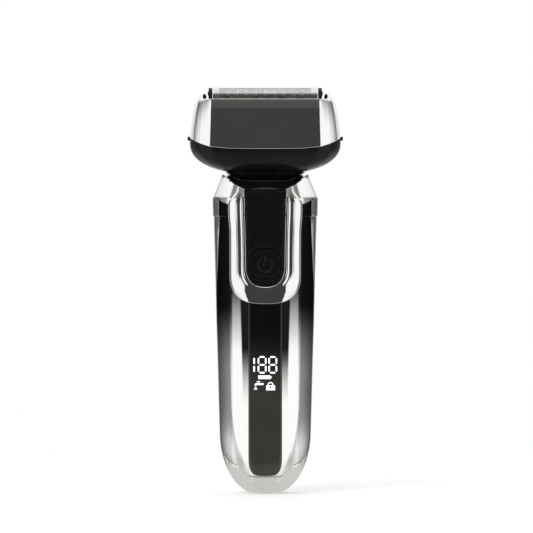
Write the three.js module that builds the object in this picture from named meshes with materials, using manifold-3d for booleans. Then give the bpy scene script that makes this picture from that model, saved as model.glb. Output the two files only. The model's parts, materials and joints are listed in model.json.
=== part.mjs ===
// Electric foil shaver: a handle with a tilting head, a lift-off foil cassette and a rear trimmer.
// Millimetres. +Z up, front towards -Y, X = 0 is the plane of symmetry.
// The origin is the middle of the flat face that the shaver stands on.
import * as THREE from 'three';
import { mergeVertices } from 'three/addons/utils/BufferGeometryUtils.js';
import { ParametricGeometry } from 'three/addons/geometries/ParametricGeometry.js';
import Module from 'manifold-3d';

const wasm = await Module();
wasm.setup();

// ---------------------------------------------------------------- driving dimensions

const GAP = 0.3; // clearance between pieces that touch
const FAR = 40; // reach of a cutting block past the object's sides
const TALL = 200; // a height above everything
const WALL = 2.2; // casing wall
const SKIN = 0.9; // panels laid into the casing
const POCKET = SKIN + GAP; // depth of the pockets that hold them

const BODY = {
  width: 17.7, // half width at the foot, before rounding
  widthRise: 0.026, // half width gained per millimetre of height
  depth: 14.8,
  depthRise: 0.022,
  sideRound: 24, // height at which the sides begin to round in
  frontRound: 15, // the same for front and back
  roundPower: 2.2,
  step: 110.8, // the upper casing stands proud from here up
  stepOut: 0.3,
  shoulder: 118.2, // height at which the shoulders start to close in
  shoulderEnd: 126.4,
  shoulderIn: 3.25,
  roof: [[4.8, 127.3], [9.6, 125.7], [16, 121.3]], // top of the collar, (distance from the middle, z)
};

const TRIM = { half: 14.3, low: 75.8, spring: 88, power: 2.65, proud: 0.7 }; // outer edge of the U trim
const PANEL = { half: 7.7, low: 82.9, spring: 91, power: 2.3 }; // its inner edge
const LENS = { half: 6.7, low: 7.3, spring: 11, power: 4 };
const BUTTON = { half: 6.2, low: 85.9, high: 98.1, round: 4.5 };
const WINDOW = { half: 5.6, low: 39.5, high: 59.5 };

// Upper edge of the foot cap across the front, in (x, z), and its level behind.
const SEAM = [[6.1, 7], [9.3, 9.6], [10.7, 11.2], [14.5, 12.8], [17.3, 16.4]];
const SEAM_BACK = 16.4;
// Line between the front and rear casing, in (y, z).
const PARTING = [[0, 0], [0, 56], [-5.6, 74], [-9.6, 113]];
const PORT = { half: 4.5, z: 9.5, halfHeight: 1.6, depth: 7 };
const GRIP = { half: 9, low: 26, high: 76, round: 7 };
const BAY = { half: 9, low: 84, floor: 13.9, coverTop: 110 };
const TRIMMER = { half: 8, low: 88, top: 117.6, teeth: 16, toothDepth: 2.2 };

const CELL = { radius: 7, low: 24.5, high: 74.5, y: 0.5 };
const BOARD = { half: 9.5, low: 26, high: 112, front: -10.5, back: -9.3 };
const MOTOR = { radius: 10.2, flat: 7.7, low: 82, high: 112, shaft: 1 };
const CAM = { radius: 4, low: 116, high: 120, throw: 1.2, pin: 1.25, pinTop: 132.5 };
const PIVOT = { z: 123, pin: 1.2, earIn: 11.2, earOut: 12.7, earHalf: 2.2 };

const HEAD = {
  half: 30.1, // half width where bowl and cassette meet
  depth: 17.2,
  rim: 140.2, // height at which the bowl is widest
  bowl: 12.9, // height of the bowl's curve
  power: 2.35,
  neckTop: 128.3, // where the bowl runs into the funnel of the neck
  neckFoot: 121.5,
  edge: 137.5, // lower edge of the cassette, in the middle
  edgeRise: 4.2, // how much it climbs towards the sides
  edgePower: 5,
  wall: 1.6,
  top: 159.8,
  frontTop: 157.5,
};

const DECK = { low: 139, high: 141, half: 24.9, depth: 13.1 };
const LATCH = { inner: 26, outer: 31, half: 4, low: 140.9, high: 142.5 };
const ROW = 6.9; // distance from the middle cutter to the front and rear ones
const FOIL = { radius: 3.7, sheet: 0.35, half: 20.9, top: 162, foot: 150.3 };
const CARRIER = { halfDepth: 3.9, inner: 21.2, outer: 22.7, low: 148, railTop: 150, rail: 0.6 };
const FRAME_RING = { low: 144, high: 146.3, opening: [21.6, 11.4] };
const MIDDLE = { halfDepth: 2.6, radius: 2.2, top: 161.4, slots: 9, slot: 1 };
const BLADE = { half: 18.6, radius: 3, shell: 1.1, low: 152, slots: 9, slot: 1.1 };
const MIDDLE_BLADE = { halfDepth: 1.1, low: 157, top: 160.3, teeth: 12, toothDepth: 1.1 };
const POST = { half: 1.4, top: 155, middleTop: 152.3 };
const BRIDGE = { low: 134.5, high: 137, half: 12, depth: 9.6 };

// ---------------------------------------------------------------- solids

// Joins the shared corners of a geometry and drops the triangles that a closed end collapses.
function welded(geometry) {
  geometry.deleteAttribute('normal');
  geometry.deleteAttribute('uv');
  const joined = mergeVertices(geometry, 1e-4);
  const corners = joined.getIndex().array;
  const kept = [];
  for (let i = 0; i < corners.length; i += 3) {
    const [a, b, c] = corners.slice(i, i + 3);
    if (a !== b && b !== c && c !== a) kept.push(a, b, c);
  }
  joined.setIndex(kept);
  return joined;
}

function solid(geometry) {
  const joined = welded(geometry);
  const mesh = new wasm.Mesh({
    numProp: 3,
    vertProperties: new Float32Array(joined.attributes.position.array),
    triVerts: new Uint32Array(joined.getIndex().array),
  });
  return new wasm.Manifold(mesh);
}

function geometryOf(manifold) {
  const mesh = manifold.getMesh();
  const geometry = new THREE.BufferGeometry();
  geometry.setAttribute('position', new THREE.BufferAttribute(mesh.vertProperties, 3));
  geometry.setIndex(new THREE.BufferAttribute(mesh.triVerts, 1));
  return geometry;
}

function block([x0, x1], [y0, y1], [z0, z1]) {
  const box = new THREE.BoxGeometry(x1 - x0, y1 - y0, z1 - z0);
  return solid(box.translate((x0 + x1) / 2, (y0 + y1) / 2, (z0 + z1) / 2));
}

function rod(radius, z0, z1, x = 0, y = 0, sides = 20) {
  const cylinder = new THREE.CylinderGeometry(radius, radius, z1 - z0, sides);
  return solid(cylinder.rotateX(Math.PI / 2).translate(x, y, (z0 + z1) / 2));
}

function rodAlongX(radius, x0, x1, y, z, sides = 20) {
  const cylinder = new THREE.CylinderGeometry(radius, radius, x1 - x0, sides);
  return solid(cylinder.rotateZ(Math.PI / 2).translate((x0 + x1) / 2, y, z));
}

// An (x, z) outline carried along Y.
function prismY(shape, y0, y1) {
  const bar = new THREE.ExtrudeGeometry(shape, { depth: y1 - y0, bevelEnabled: false });
  return solid(bar.rotateX(Math.PI / 2).translate(0, y1, 0));
}

// A (y, z) outline carried along X.
function prismX(shape, x0, x1) {
  const bar = new THREE.ExtrudeGeometry(shape, { depth: x1 - x0, bevelEnabled: false });
  const turn = new THREE.Matrix4().set(0, 0, 1, x0, 1, 0, 0, 0, 0, 1, 0, 0, 0, 0, 0, 1);
  return solid(bar.applyMatrix4(turn));
}

function polygon(points) {
  return new THREE.Shape(points.map(([x, y]) => new THREE.Vector2(x, y)));
}

// ---------------------------------------------------------------- outlines

// A closed outline from its right-hand corners, front to back, mirrored and slightly rounded.
function roundedOutline(rightCorners, cut, steps) {
  const right = rightCorners.map(([x, y]) => new THREE.Vector2(x, y));
  const left = rightCorners.map(([x, y]) => new THREE.Vector2(-x, y)).reverse();
  const corners = [...right, ...left];
  const path = new THREE.Path();
  corners.forEach((corner, i) => {
    const before = corners[(i + corners.length - 1) % corners.length];
    const after = corners[(i + 1) % corners.length];
    const start = corner.clone().lerp(before, cut / corner.distanceTo(before));
    const end = corner.clone().lerp(after, cut / corner.distanceTo(after));
    if (i === 0) path.moveTo(start.x, start.y);
    else path.lineTo(start.x, start.y);
    path.quadraticCurveTo(corner.x, corner.y, end.x, end.y);
  });
  return path.getPoints(steps);
}

// Section of the handle, as fractions of its half width and half depth.
const handleOutline = roundedOutline(
  [[0.36, -1], [0.7, -0.8], [1, -0.36], [1, 0.34], [0.74, 0.8], [0.38, 1]], 0.06, 1);

// Section of the head: flat in front and behind, with a cheek facet at each corner.
function headOutline(width, depth, flat = 0.74 * width, cheek = 0.8) {
  const cheekX = flat + 0.6 * (width - flat);
  const side = 0.42 * depth;
  const corners = [
    [flat, -depth], [cheekX, -cheek * depth], [width, -side],
    [width, side], [cheekX, cheek * depth], [flat, depth]];
  return roundedOutline(corners, 0.05 * width, 1);
}

// Straight sides over a superelliptic bottom, in (x, z).
function archShape({ half, low, spring, power }, grow, high) {
  const points = [[half + grow, high]];
  const steps = 12;
  for (let i = 0; i <= steps; i += 1) {
    const turn = (Math.PI * i) / steps;
    const across = Math.sign(Math.cos(turn)) * Math.abs(Math.cos(turn)) ** (2 / power);
    const down = Math.sin(turn) ** (2 / power);
    points.push([(half + grow) * across, spring - (spring - low + grow) * down]);
  }
  points.push([-half - grow, high]);
  return polygon(points);
}

function roundedRectangle(half, low, high, radius) {
  const shape = new THREE.Shape();
  shape.moveTo(half, low + radius);
  shape.lineTo(half, high - radius);
  shape.absarc(half - radius, high - radius, radius, 0, Math.PI / 2, false);
  shape.absarc(radius - half, high - radius, radius, Math.PI / 2, Math.PI, false);
  shape.absarc(radius - half, low + radius, radius, Math.PI, 1.5 * Math.PI, false);
  shape.absarc(half - radius, low + radius, radius, 1.5 * Math.PI, 2 * Math.PI, false);
  return polygon(shape.getPoints(2).slice(0, -1).map((p) => [p.x, p.y]));
}

// ---------------------------------------------------------------- lofts

// A skin through rings, each a height and the points of a section.
function skin(rings, joinsItself) {
  const around = rings[0].points.length;
  const along = joinsItself ? rings.length : rings.length - 1;
  const place = (u, v, target) => {
    const { z, points } = rings[Math.round(v * along) % rings.length];
    const point = points[Math.round(u * around) % around];
    target.set(point.x, point.y, z);
  };
  return solid(new ParametricGeometry(place, around, along));
}

// A solid through rings: each end is closed by a ring drawn in to one point.
function loft(rings) {
  const shut = ({ z, points }) => ({ z, points: points.map(() => new THREE.Vector2(0, 0)) });
  return skin([shut(rings[0]), ...rings, shut(rings[rings.length - 1])], false);
}

// The wall between two offsets of one form.
function layer(ringAt, heights, outer, inner) {
  const up = heights.map((z) => ringAt(z, outer));
  const down = [...heights].reverse().map((z) => ringAt(z, inner));
  return skin([...up, ...down], true);
}

function roundedIn(z, start, power) {
  const drop = Math.max(0, (start - z) / (start + 1));
  return (1 - drop ** power) ** (1 / power);
}

function bodySize(z) {
  const out = z > BODY.step ? BODY.stepOut : 0;
  const close = THREE.MathUtils.smoothstep(z, BODY.shoulder, BODY.shoulderEnd) * BODY.shoulderIn;
  const width = (BODY.width + BODY.widthRise * z) * roundedIn(z, BODY.sideRound, BODY.roundPower);
  const depth = (BODY.depth + BODY.depthRise * z) * roundedIn(z, BODY.frontRound, BODY.roundPower);
  return [width + out - close, depth + out - close];
}

const capHeights = [0, 1.5, 4, 8, 13, 18];
const casingHeights = [4, 8, 13, 18, 24, BODY.step - 0.05, BODY.step + 0.05, 118.2];
const shoulderHeights = [113, 118.2, 120.5, 122.5, 124.5, 126.4, 129];

function bodyRing(z, offset) {
  const [width, depth] = bodySize(z);
  const size = new THREE.Vector2(width + offset, depth + offset);
  return { z, points: handleOutline.map((point) => point.clone().multiply(size)) };
}

const bodyLayer = (outer, inner, heights) => layer(bodyRing, heights, outer, inner);

function bowlSize(z) {
  if (z < HEAD.neckTop) {
    const t = Math.min(1, (HEAD.neckTop - z) / 3.7);
    return [16 - 6.4 * t, 10 - 2.8 * t];
  }
  const drop = Math.max(0, (HEAD.rim - z) / HEAD.bowl);
  const full = (1 - drop ** HEAD.power) ** (1 / HEAD.power);
  const deep = (1 - drop ** 2.8) ** (1 / 2.8);
  return [HEAD.half * full, HEAD.depth * deep];
}

const headRing = (z, ...size) => ({ z, points: headOutline(...size) });

// Height, half width, half depth, half width of the flat face, and depth of the cheek corner.
const cassetteSizes = [
  [137, 30.1, 17.2, 22.2, 0.8], [141.7, 30.1, 16.9, 22.2, 0.8], [148.6, 29.4, 16.4, 22.1, 0.82],
  [154.5, 28.3, 15.8, 22, 0.86], [157, 27.6, 15.4, 22, 0.92], [160.2, 24.9, 14.6, 21.9, 0.92],
];

function cassetteRing(z, offset) {
  const [, width, depth, flat, cheek] = cassetteSizes.find((size) => size[0] === z);
  return headRing(z, width + offset, depth + offset, flat + 0.4 * offset, cheek);
}

// ---------------------------------------------------------------- materials

const finish = (color, roughness, metalness = 0) => ({ color, roughness, metalness });
const CHROME = finish(0xd8d9da, 0.08, 1);
const DARK_CHROME = finish(0x55524e, 0.12, 1);
const SATIN_BLACK = finish(0x121212, 0.42);
const MATTE_BLACK = finish(0x141414, 0.6);
const LENS_BLACK = finish(0x0b0b0a, 0.08);
const RUBBER = finish(0x1a1a1a, 0.85);
const STEEL = finish(0xb9bcc0, 0.25, 1);
const BRASS = finish(0xb99a52, 0.35, 1);
const PLASTIC_GREY = finish(0x4b4d50, 0.55);
const WHITE = finish(0xe8e8e4, 0.5);
const BOARD_GREEN = finish(0x1d4a33, 0.5);
const CELL_WRAP = finish(0x2f6d9a, 0.45);

function part(name, shape, look) {
  const geometry = shape.isBufferGeometry ? shape : geometryOf(shape);
  const mesh = new THREE.Mesh(geometry, new THREE.MeshStandardMaterial(look));
  mesh.name = name;
  return mesh;
}

function placed(mesh, x, y, z) {
  mesh.position.set(x, y, z);
  return mesh;
}

// ---------------------------------------------------------------- regions that split the casing

const everything = [-FAR, FAR];

// In front of the line between the two casing halves, which runs forward towards the top.
function aheadOfParting(shift) {
  const line = PARTING.map(([y, z]) => [y + shift, z]);
  const [lastY] = line[line.length - 1];
  return prismX(polygon([[-FAR, 0], ...line, [lastY, TALL], [-FAR, TALL]]), -FAR, FAR);
}

// Above the lower seam: low under the lens, high at the sides. The back seam is level.
function aboveSeam(lift) {
  const seam = [...SEAM, [FAR, SEAM_BACK]].map(([x, z]) => [x, z + lift]);
  const mirrored = seam.map(([x, z]) => [-x, z]).reverse();
  const front = prismY(polygon([...mirrored, ...seam, [FAR, TALL], [-FAR, TALL]]), -FAR, 0.001);
  return front.add(block(everything, [0, FAR], [SEAM_BACK + lift, TALL]));
}

// Above the collar's lower edge, which dips towards the front.
function aboveCollarSeam(lift) {
  const seam = [[0, 115.7], [16, 115.7], [21.5, 119], [FAR, 119]].map(([x, z]) => [x, z + lift]);
  const mirrored = seam.slice(1).map(([x, z]) => [-x, z]).reverse();
  return prismY(polygon([...mirrored, ...seam, [FAR, TALL], [-FAR, TALL]]), -FAR, FAR);
}

// Under the neck opening, which is level at the sides and falls to front and back.
function underRoof(drop) {
  const [, [knee, kneeZ], [eave, eaveZ]] = BODY.roof;
  const fall = (kneeZ - eaveZ) / (eave - knee);
  const rear = [[FAR, eaveZ - fall * (FAR - eave)], BODY.roof[1], BODY.roof[0]]
    .map(([y, z]) => [y, z - drop]);
  const front = rear.map(([y, z]) => [-y, z]).reverse();
  return prismX(polygon([[-FAR, -FAR], [FAR, -FAR], ...rear, ...front]), -FAR, FAR);
}

const trimOuter = (grow) => prismY(archShape(TRIM, grow, TALL), -FAR, 0);
const trimInner = (grow) => prismY(archShape(PANEL, grow, TALL), -FAR, 0);
const lensStrip = (grow, high) => prismY(archShape(LENS, grow, high), -FAR, 0);
const gripOutline = (grow) => prismY(
  roundedRectangle(GRIP.half + grow, GRIP.low - grow, GRIP.high + grow, GRIP.round + grow), 0, FAR);
const trimmerSlot = block([-BAY.half, BAY.half], [BAY.floor, FAR], [BAY.low, TALL]);

// ---------------------------------------------------------------- casing

function frontShell() {
  const pocket = trimOuter(GAP)
    .add(lensStrip(GAP, 80))
    .intersect(bodyLayer(3, -POCKET, casingHeights));
  const keyHalf = BUTTON.half + 0.5;
  const keyhole = block([-keyHalf, keyHalf], [-FAR, 0], [BUTTON.low - 0.5, BUTTON.high + 0.5]);
  const window = block([-WINDOW.half, WINDOW.half], [-FAR, 0], [WINDOW.low, WINDOW.high]);
  return bodyLayer(0, -WALL, casingHeights)
    .intersect(aheadOfParting(-GAP / 2))
    .intersect(aboveSeam(GAP / 2))
    .subtract(aboveCollarSeam(-GAP / 2))
    .subtract(pocket)
    .subtract(keyhole)
    .subtract(window);
}

function rearShell() {
  const bayFloor = block([-10.5, 10.5], [BAY.floor - 1.6, BAY.floor], [BAY.low - 2, 114.5]);
  const bayShelf = block([-10.5, 10.5], [BAY.floor - 1.6, 15.6], [BAY.low - 2, BAY.low]);
  const gripPocket = gripOutline(GAP).intersect(bodyLayer(3, -POCKET, casingHeights));
  return bodyLayer(0, -WALL, casingHeights)
    .subtract(aheadOfParting(GAP / 2))
    .intersect(aboveSeam(GAP / 2))
    .subtract(aboveCollarSeam(-GAP / 2))
    .subtract(trimmerSlot)
    .subtract(gripPocket)
    .add(bayFloor)
    .add(bayShelf);
}

function collar() {
  const shoulder = bodyLayer(0, -WALL, shoulderHeights)
    .intersect(aboveCollarSeam(GAP / 2))
    .subtract(trimInner(0).intersect(bodyLayer(3, -POCKET, shoulderHeights)))
    .subtract(trimmerSlot);
  const heights = [70, BODY.step - 0.05, BODY.step + 0.05, ...shoulderHeights.slice(1)];
  const band = bodyLayer(TRIM.proud, -SKIN, heights)
    .intersect(trimOuter(0))
    .subtract(trimInner(0));
  return shoulder.add(band).intersect(underRoof(0));
}

function buttonPrism(grow, y0, y1) {
  const outline = roundedRectangle(
    BUTTON.half + grow, BUTTON.low - grow, BUTTON.high + grow, BUTTON.round + grow);
  return prismY(outline, y0, y1);
}

function frontPanel() {
  const heights = [70, BODY.step - 0.05, BODY.step + 0.05, ...shoulderHeights.slice(1)];
  return bodyLayer(0, -SKIN, heights)
    .intersect(trimInner(-GAP))
    .intersect(underRoof(0.3))
    .subtract(buttonPrism(GAP, -FAR, 0));
}

function powerButton() {
  const cap = buttonPrism(0, -16.6, -14.9);
  const stem = new THREE.CylinderGeometry(2.2, 2.2, 2, 16).translate(0, -14.2, 92);
  return cap.add(solid(stem));
}

function displayLens() {
  return bodyLayer(0, -SKIN, casingHeights)
    .intersect(lensStrip(0, 80))
    .subtract(trimOuter(GAP));
}

function rearGrip() {
  return bodyLayer(0, -SKIN, casingHeights).intersect(gripOutline(0));
}

function bottomCap() {
  const cup = bodyLayer(0, -3.9, capHeights).subtract(aboveSeam(-GAP / 2));
  const rim = bodyLayer(-2.5, -3.9, [8, 13, 18, 20]);
  const floor = loft([bodyRing(0, 0), bodyRing(1.5, 0), bodyRing(3, -3)]);
  const mouth = block([-PORT.half - GAP, PORT.half + GAP], [PORT.depth, FAR],
    [PORT.z - PORT.halfHeight - GAP, PORT.z + PORT.halfHeight + GAP]);
  return cup.add(rim).add(floor).subtract(mouth);
}

// ---------------------------------------------------------------- inside the handle

function chassis() {
  const cradle = block([-10.5, 10.5], [-8.6, 9], [22, 81])
    .add(block([-13, 13], [-8.6, 9.6], [80, 113.5]));
  const bayHalf = CELL.radius + 0.4;
  const [bayLow, bayHigh] = [CELL.low - 1.7, CELL.high + 1.9];
  const cellBay = block([-bayHalf, bayHalf], [CELL.y, FAR], [bayLow, bayHigh])
    .add(rod(bayHalf, bayLow, bayHigh, 0, CELL.y));
  const motorBay = rod(MOTOR.radius + GAP, MOTOR.low - GAP, 120)
    .intersect(block(everything, [-MOTOR.flat - GAP, MOTOR.flat + GAP], [0, TALL]));
  return cradle.subtract(cellBay).subtract(motorBay);
}

function mainBoard() {
  const { half, low, high, front, back } = BOARD;
  return block([-half, half], [front, back], [low, high]);
}

function motorCan() {
  return rod(MOTOR.radius, MOTOR.low, MOTOR.high, 0, 0, 24)
    .intersect(block(everything, [-MOTOR.flat, MOTOR.flat], [0, TALL]))
    .subtract(rod(MOTOR.shaft + 0.4, 98, TALL));
}

function driveCam() {
  return rod(CAM.radius, CAM.low, CAM.high)
    .add(rod(CAM.pin, CAM.high - 0.5, CAM.pinTop, CAM.throw, 0))
    .subtract(rod(MOTOR.shaft + GAP, 0, CAM.low + 3));
}

function pivotBracket() {
  const plate = block([-13, 13], [-8, 8], [114.2, 115.4]).subtract(rod(5, 0, TALL));
  const ears = [-1, 1].map((side) => {
    const spread = [PIVOT.earIn, PIVOT.earOut].map((x) => side * x).sort((a, b) => a - b);
    return block(spread, [-PIVOT.earHalf, PIVOT.earHalf], [115, PIVOT.z + 1.5]);
  });
  return plate.add(ears[0]).add(ears[1])
    .subtract(rodAlongX(PIVOT.pin + GAP, -FAR, FAR, 0, PIVOT.z));
}

function chargingSocket() {
  const wall = 0.4;
  const y0 = PORT.depth + GAP;
  const y1 = y0 + PORT.depth - 0.6;
  const low = PORT.z - PORT.halfHeight;
  const high = PORT.z + PORT.halfHeight;
  const hollow = block([wall - PORT.half, PORT.half - wall], [y0 + 1, FAR], [low + wall, high - wall]);
  const tongue = block([-3, 3], [y0 + 0.5, y1 - 1], [PORT.z - 0.35, PORT.z + 0.35]);
  return block([-PORT.half, PORT.half], [y0, y1], [low, high]).subtract(hollow).add(tongue);
}

function neckBoot() {
  const clear = block([-BAY.half - GAP, BAY.half + GAP], [BAY.floor - GAP, FAR], [0, TALL]);
  return bodyLayer(-2.5, -4.2, [116, 118.2, 120.5, 122.5, 124.5, 126.4, 129])
    .intersect(underRoof(1.3))
    .subtract(clear);
}

// ---------------------------------------------------------------- rear trimmer

function toothedPlate(half, low, top, teeth, toothDepth) {
  const pitch = (2 * half) / teeth;
  const points = [[-half, low], [half, low]];
  for (let i = 0; i < teeth; i += 1) {
    const right = half - i * pitch;
    points.push([right, top - toothDepth], [right - 0.2 * pitch, top]);
    points.push([right - 0.5 * pitch, top], [right - 0.7 * pitch, top - toothDepth]);
  }
  points.push([-half, top - toothDepth]);
  return polygon(points);
}

function trimmerCover() {
  const slot = block([-4.3, 4.3], [0, FAR], [88.6, 108.6]);
  return bodyLayer(0, -SKIN, [80, 112])
    .intersect(block([GAP - BAY.half, BAY.half - GAP], [0, FAR], [BAY.low + GAP, BAY.coverTop]))
    .subtract(slot);
}

function trimmerSwitch() {
  const stem = block([-4, 4], [15.5, 18], [89, 101]);
  const pad = block([-5.5, 5.5], [17.7, 18.9], [89.2, 100.8]);
  const ribs = [91.5, 94, 96.5, 99].map((z) => block([-4.6, 4.6], [18.7, 19.3], [z - 0.5, z + 0.5]));
  return ribs.reduce((sum, rib) => sum.add(rib), stem.add(pad));
}

// ---------------------------------------------------------------- head

// Under the line where bowl and cassette meet, which climbs towards the sides.
function underEdge(lift) {
  const steps = 12;
  const points = [[-FAR, 100], [FAR, 100]];
  for (let i = 0; i <= 2 * steps; i += 1) {
    const x = HEAD.half * 1.05 * (1 - i / steps);
    const climb = HEAD.edgeRise * (Math.abs(x) / HEAD.half) ** HEAD.edgePower;
    points.push([x, HEAD.edge + lift + climb]);
  }
  points.splice(2, 0, [FAR, points[2][1]]);
  points.push([-FAR, points[points.length - 1][1]]);
  return prismY(polygon(points), -FAR, FAR);
}

const latchNotch = (grow) => block(
  [-FAR, FAR], [-LATCH.half - grow, LATCH.half + grow], [LATCH.low - grow, LATCH.high + grow]);

function headBase() {
  const outside = [HEAD.neckFoot, 124.6, 128.29, 129.4, 131, 134, 137, 140.2, 142]
    .map((z) => headRing(z, ...bowlSize(z)));
  const inside = [[142, 28.1, 15.2], [137, 28, 14.9], [134.5, 25.4, 13.2], [131.5, 17, 10.2],
    [129.2, 6.4, 5.9], [HEAD.neckFoot, 6.4, 5.6]].map((ring) => headRing(...ring));
  const bowl = skin([...outside, ...inside], true).intersect(underEdge(0));
  const rim = skin([[136, 28.3, 15.3], [142, 28.3, 15.1], [142, 26.8, 13.6], [136, 26.8, 13.6]]
    .map((ring) => headRing(...ring)), true);
  const latches = latchNotch(GAP + 0.2).subtract(block([-25, 25], everything, [0, TALL]));
  return bowl.add(rim).subtract(latches)
    .subtract(block([-FAR, FAR], [-LATCH.half - 0.5, LATCH.half + 0.5], [LATCH.high, TALL]))
    .subtract(rodAlongX(PIVOT.pin + GAP, -FAR, FAR, 0, PIVOT.z));
}

function headDeck() {
  const plate = loft([headRing(DECK.low, 26.4, DECK.depth), headRing(DECK.high, 26.4, DECK.depth)])
    .intersect(block([-DECK.half, DECK.half], everything, [0, TALL]));
  return [-ROW, 0, ROW].reduce((sum, y) => sum.subtract(
    block([-3.2, 3.2], [y - 2, y + 2], [0, TALL])), plate);
}

function postSeal() {
  const outer = roundedRectangle(4.4, -3, 3, 1.2);
  const inner = roundedRectangle(3.2, -2, 2, 0.8);
  const ring = (shape, z0, z1) => solid(
    new THREE.ExtrudeGeometry(shape, { depth: z1 - z0, bevelEnabled: false }).translate(0, 0, z0));
  return ring(outer, 0, 1.6).subtract(ring(inner, -1, 3));
}

function releaseButton(side) {
  const ends = [side * LATCH.inner, side * LATCH.outer].sort((a, b) => a - b);
  return block(ends, [-LATCH.half, LATCH.half], [LATCH.low, LATCH.high]);
}

// A coil spring standing on z = 0.
function coilSpring(radius, wire, height, turns) {
  const points = [];
  const steps = 8 * turns;
  for (let i = 0; i <= steps; i += 1) {
    const angle = (2 * Math.PI * i) / 8;
    const z = wire + (height - 2 * wire) * (i / steps);
    points.push(new THREE.Vector3(radius * Math.cos(angle), radius * Math.sin(angle), z));
  }
  const section = polygon([0, 1, 2, 3, 4].map((i) => {
    const angle = (2 * Math.PI * i) / 5;
    return [wire * Math.cos(angle), wire * Math.sin(angle)];
  }));
  const path = new THREE.CatmullRomCurve3(points);
  return new THREE.ExtrudeGeometry(section, { steps, extrudePath: path, bevelEnabled: false });
}

function oscillatorBridge() {
  const { half, depth, low, high } = BRIDGE;
  const plate = block([-half, half], [-depth, depth], [low, high]);
  const fork = block([-6, 6], [-5.5, 5.5], [130.6, BRIDGE.low + 0.5]);
  const posts = [[-ROW, POST.top], [0, POST.middleTop], [ROW, POST.top]].map(([y, top]) => block(
    [-POST.half, POST.half], [y - POST.half, y + POST.half], [BRIDGE.low + 0.5, top]));
  return posts.reduce((sum, post) => sum.add(post), plate.add(fork))
    .subtract(block([-3.9, 3.9], [-4.6, 4.6], [0, 133.4]));
}

// Half-round arch over straight legs, in (y, z), with its top at `top`.
function archSection(radius, foot, top) {
  const shape = new THREE.Shape();
  shape.moveTo(radius, foot);
  shape.lineTo(radius, top - radius);
  shape.absarc(0, top - radius, radius, 0, Math.PI, false);
  shape.lineTo(-radius, foot);
  return polygon(shape.getPoints(4).map((p) => [p.x, p.y]));
}

function arch(radius, thickness, half, foot, top) {
  return prismX(archSection(radius, foot, top), -half, half)
    .subtract(prismX(archSection(radius - thickness, foot - 1, top - thickness), -FAR, FAR));
}

function cutterBlade() {
  const top = FOIL.top - FOIL.sheet * 2;
  const pitch = (2 * BLADE.half) / (BLADE.slots + 1);
  let blade = arch(BLADE.radius, BLADE.shell, BLADE.half, BLADE.low, top);
  for (let i = 1; i <= BLADE.slots; i += 1) {
    const x = -BLADE.half + i * pitch;
    blade = blade.subtract(block([x - BLADE.slot / 2, x + BLADE.slot / 2], everything, [155.5, TALL]));
  }
  return blade;
}

function middleBlade() {
  const { halfDepth, low, top, teeth, toothDepth } = MIDDLE_BLADE;
  return prismY(toothedPlate(BLADE.half, low, top, teeth, toothDepth), -halfDepth, halfDepth);
}

function foilCarrier(halfDepth) {
  const plates = [-1, 1].map((side) => {
    const ends = [side * CARRIER.inner, side * CARRIER.outer].sort((a, b) => a - b);
    return prismX(archSection(halfDepth, CARRIER.low, FOIL.top), ...ends);
  });
  const rails = [-1, 1].map((side) => {
    const ends = [side * halfDepth, side * (halfDepth - CARRIER.rail)].sort((a, b) => a - b);
    return block([-CARRIER.inner - 0.5, CARRIER.inner + 0.5], ends, [CARRIER.low, CARRIER.railTop]);
  });
  return [...plates.slice(1), ...rails].reduce((sum, piece) => sum.add(piece), plates[0]);
}

function middleGuard() {
  const pitch = (2 * FOIL.half) / (MIDDLE.slots + 1);
  let guard = arch(MIDDLE.radius, FOIL.sheet, FOIL.half, FOIL.foot, MIDDLE.top);
  for (let i = 1; i <= MIDDLE.slots; i += 1) {
    const x = -FOIL.half + i * pitch;
    guard = guard.subtract(
      block([x - MIDDLE.slot / 2, x + MIDDLE.slot / 2], everything, [MIDDLE.top - 1.8, TALL]));
  }
  return guard;
}

function headFrame() {
  const heights = cassetteSizes.map((size) => size[0]);
  const { frontTop, top } = HEAD;
  const profile = [
    [-FAR, 100], [FAR, 100], [FAR, frontTop], [12, frontTop],
    [8.5, top], [-8.5, top], [-12, frontTop], [-FAR, frontTop]];
  const latches = latchNotch(GAP).add(
    block(everything, [-LATCH.half - GAP, LATCH.half + GAP], [130, LATCH.high]))
    .subtract(block([-25, 25], everything, [0, TALL]));
  return layer(cassetteRing, heights, 0, -HEAD.wall)
    .intersect(prismX(polygon(profile), -FAR, FAR))
    .subtract(underEdge(GAP))
    .subtract(latches);
}

function foilFrame() {
  const { low, high, opening } = FRAME_RING;
  return loft([headRing(low, 27.4, 14.2), headRing(high, 27.2, 14)])
    .subtract(block([-opening[0], opening[0]], [-opening[1], opening[1]], [0, TALL]));
}

// ---------------------------------------------------------------- assembly

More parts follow.
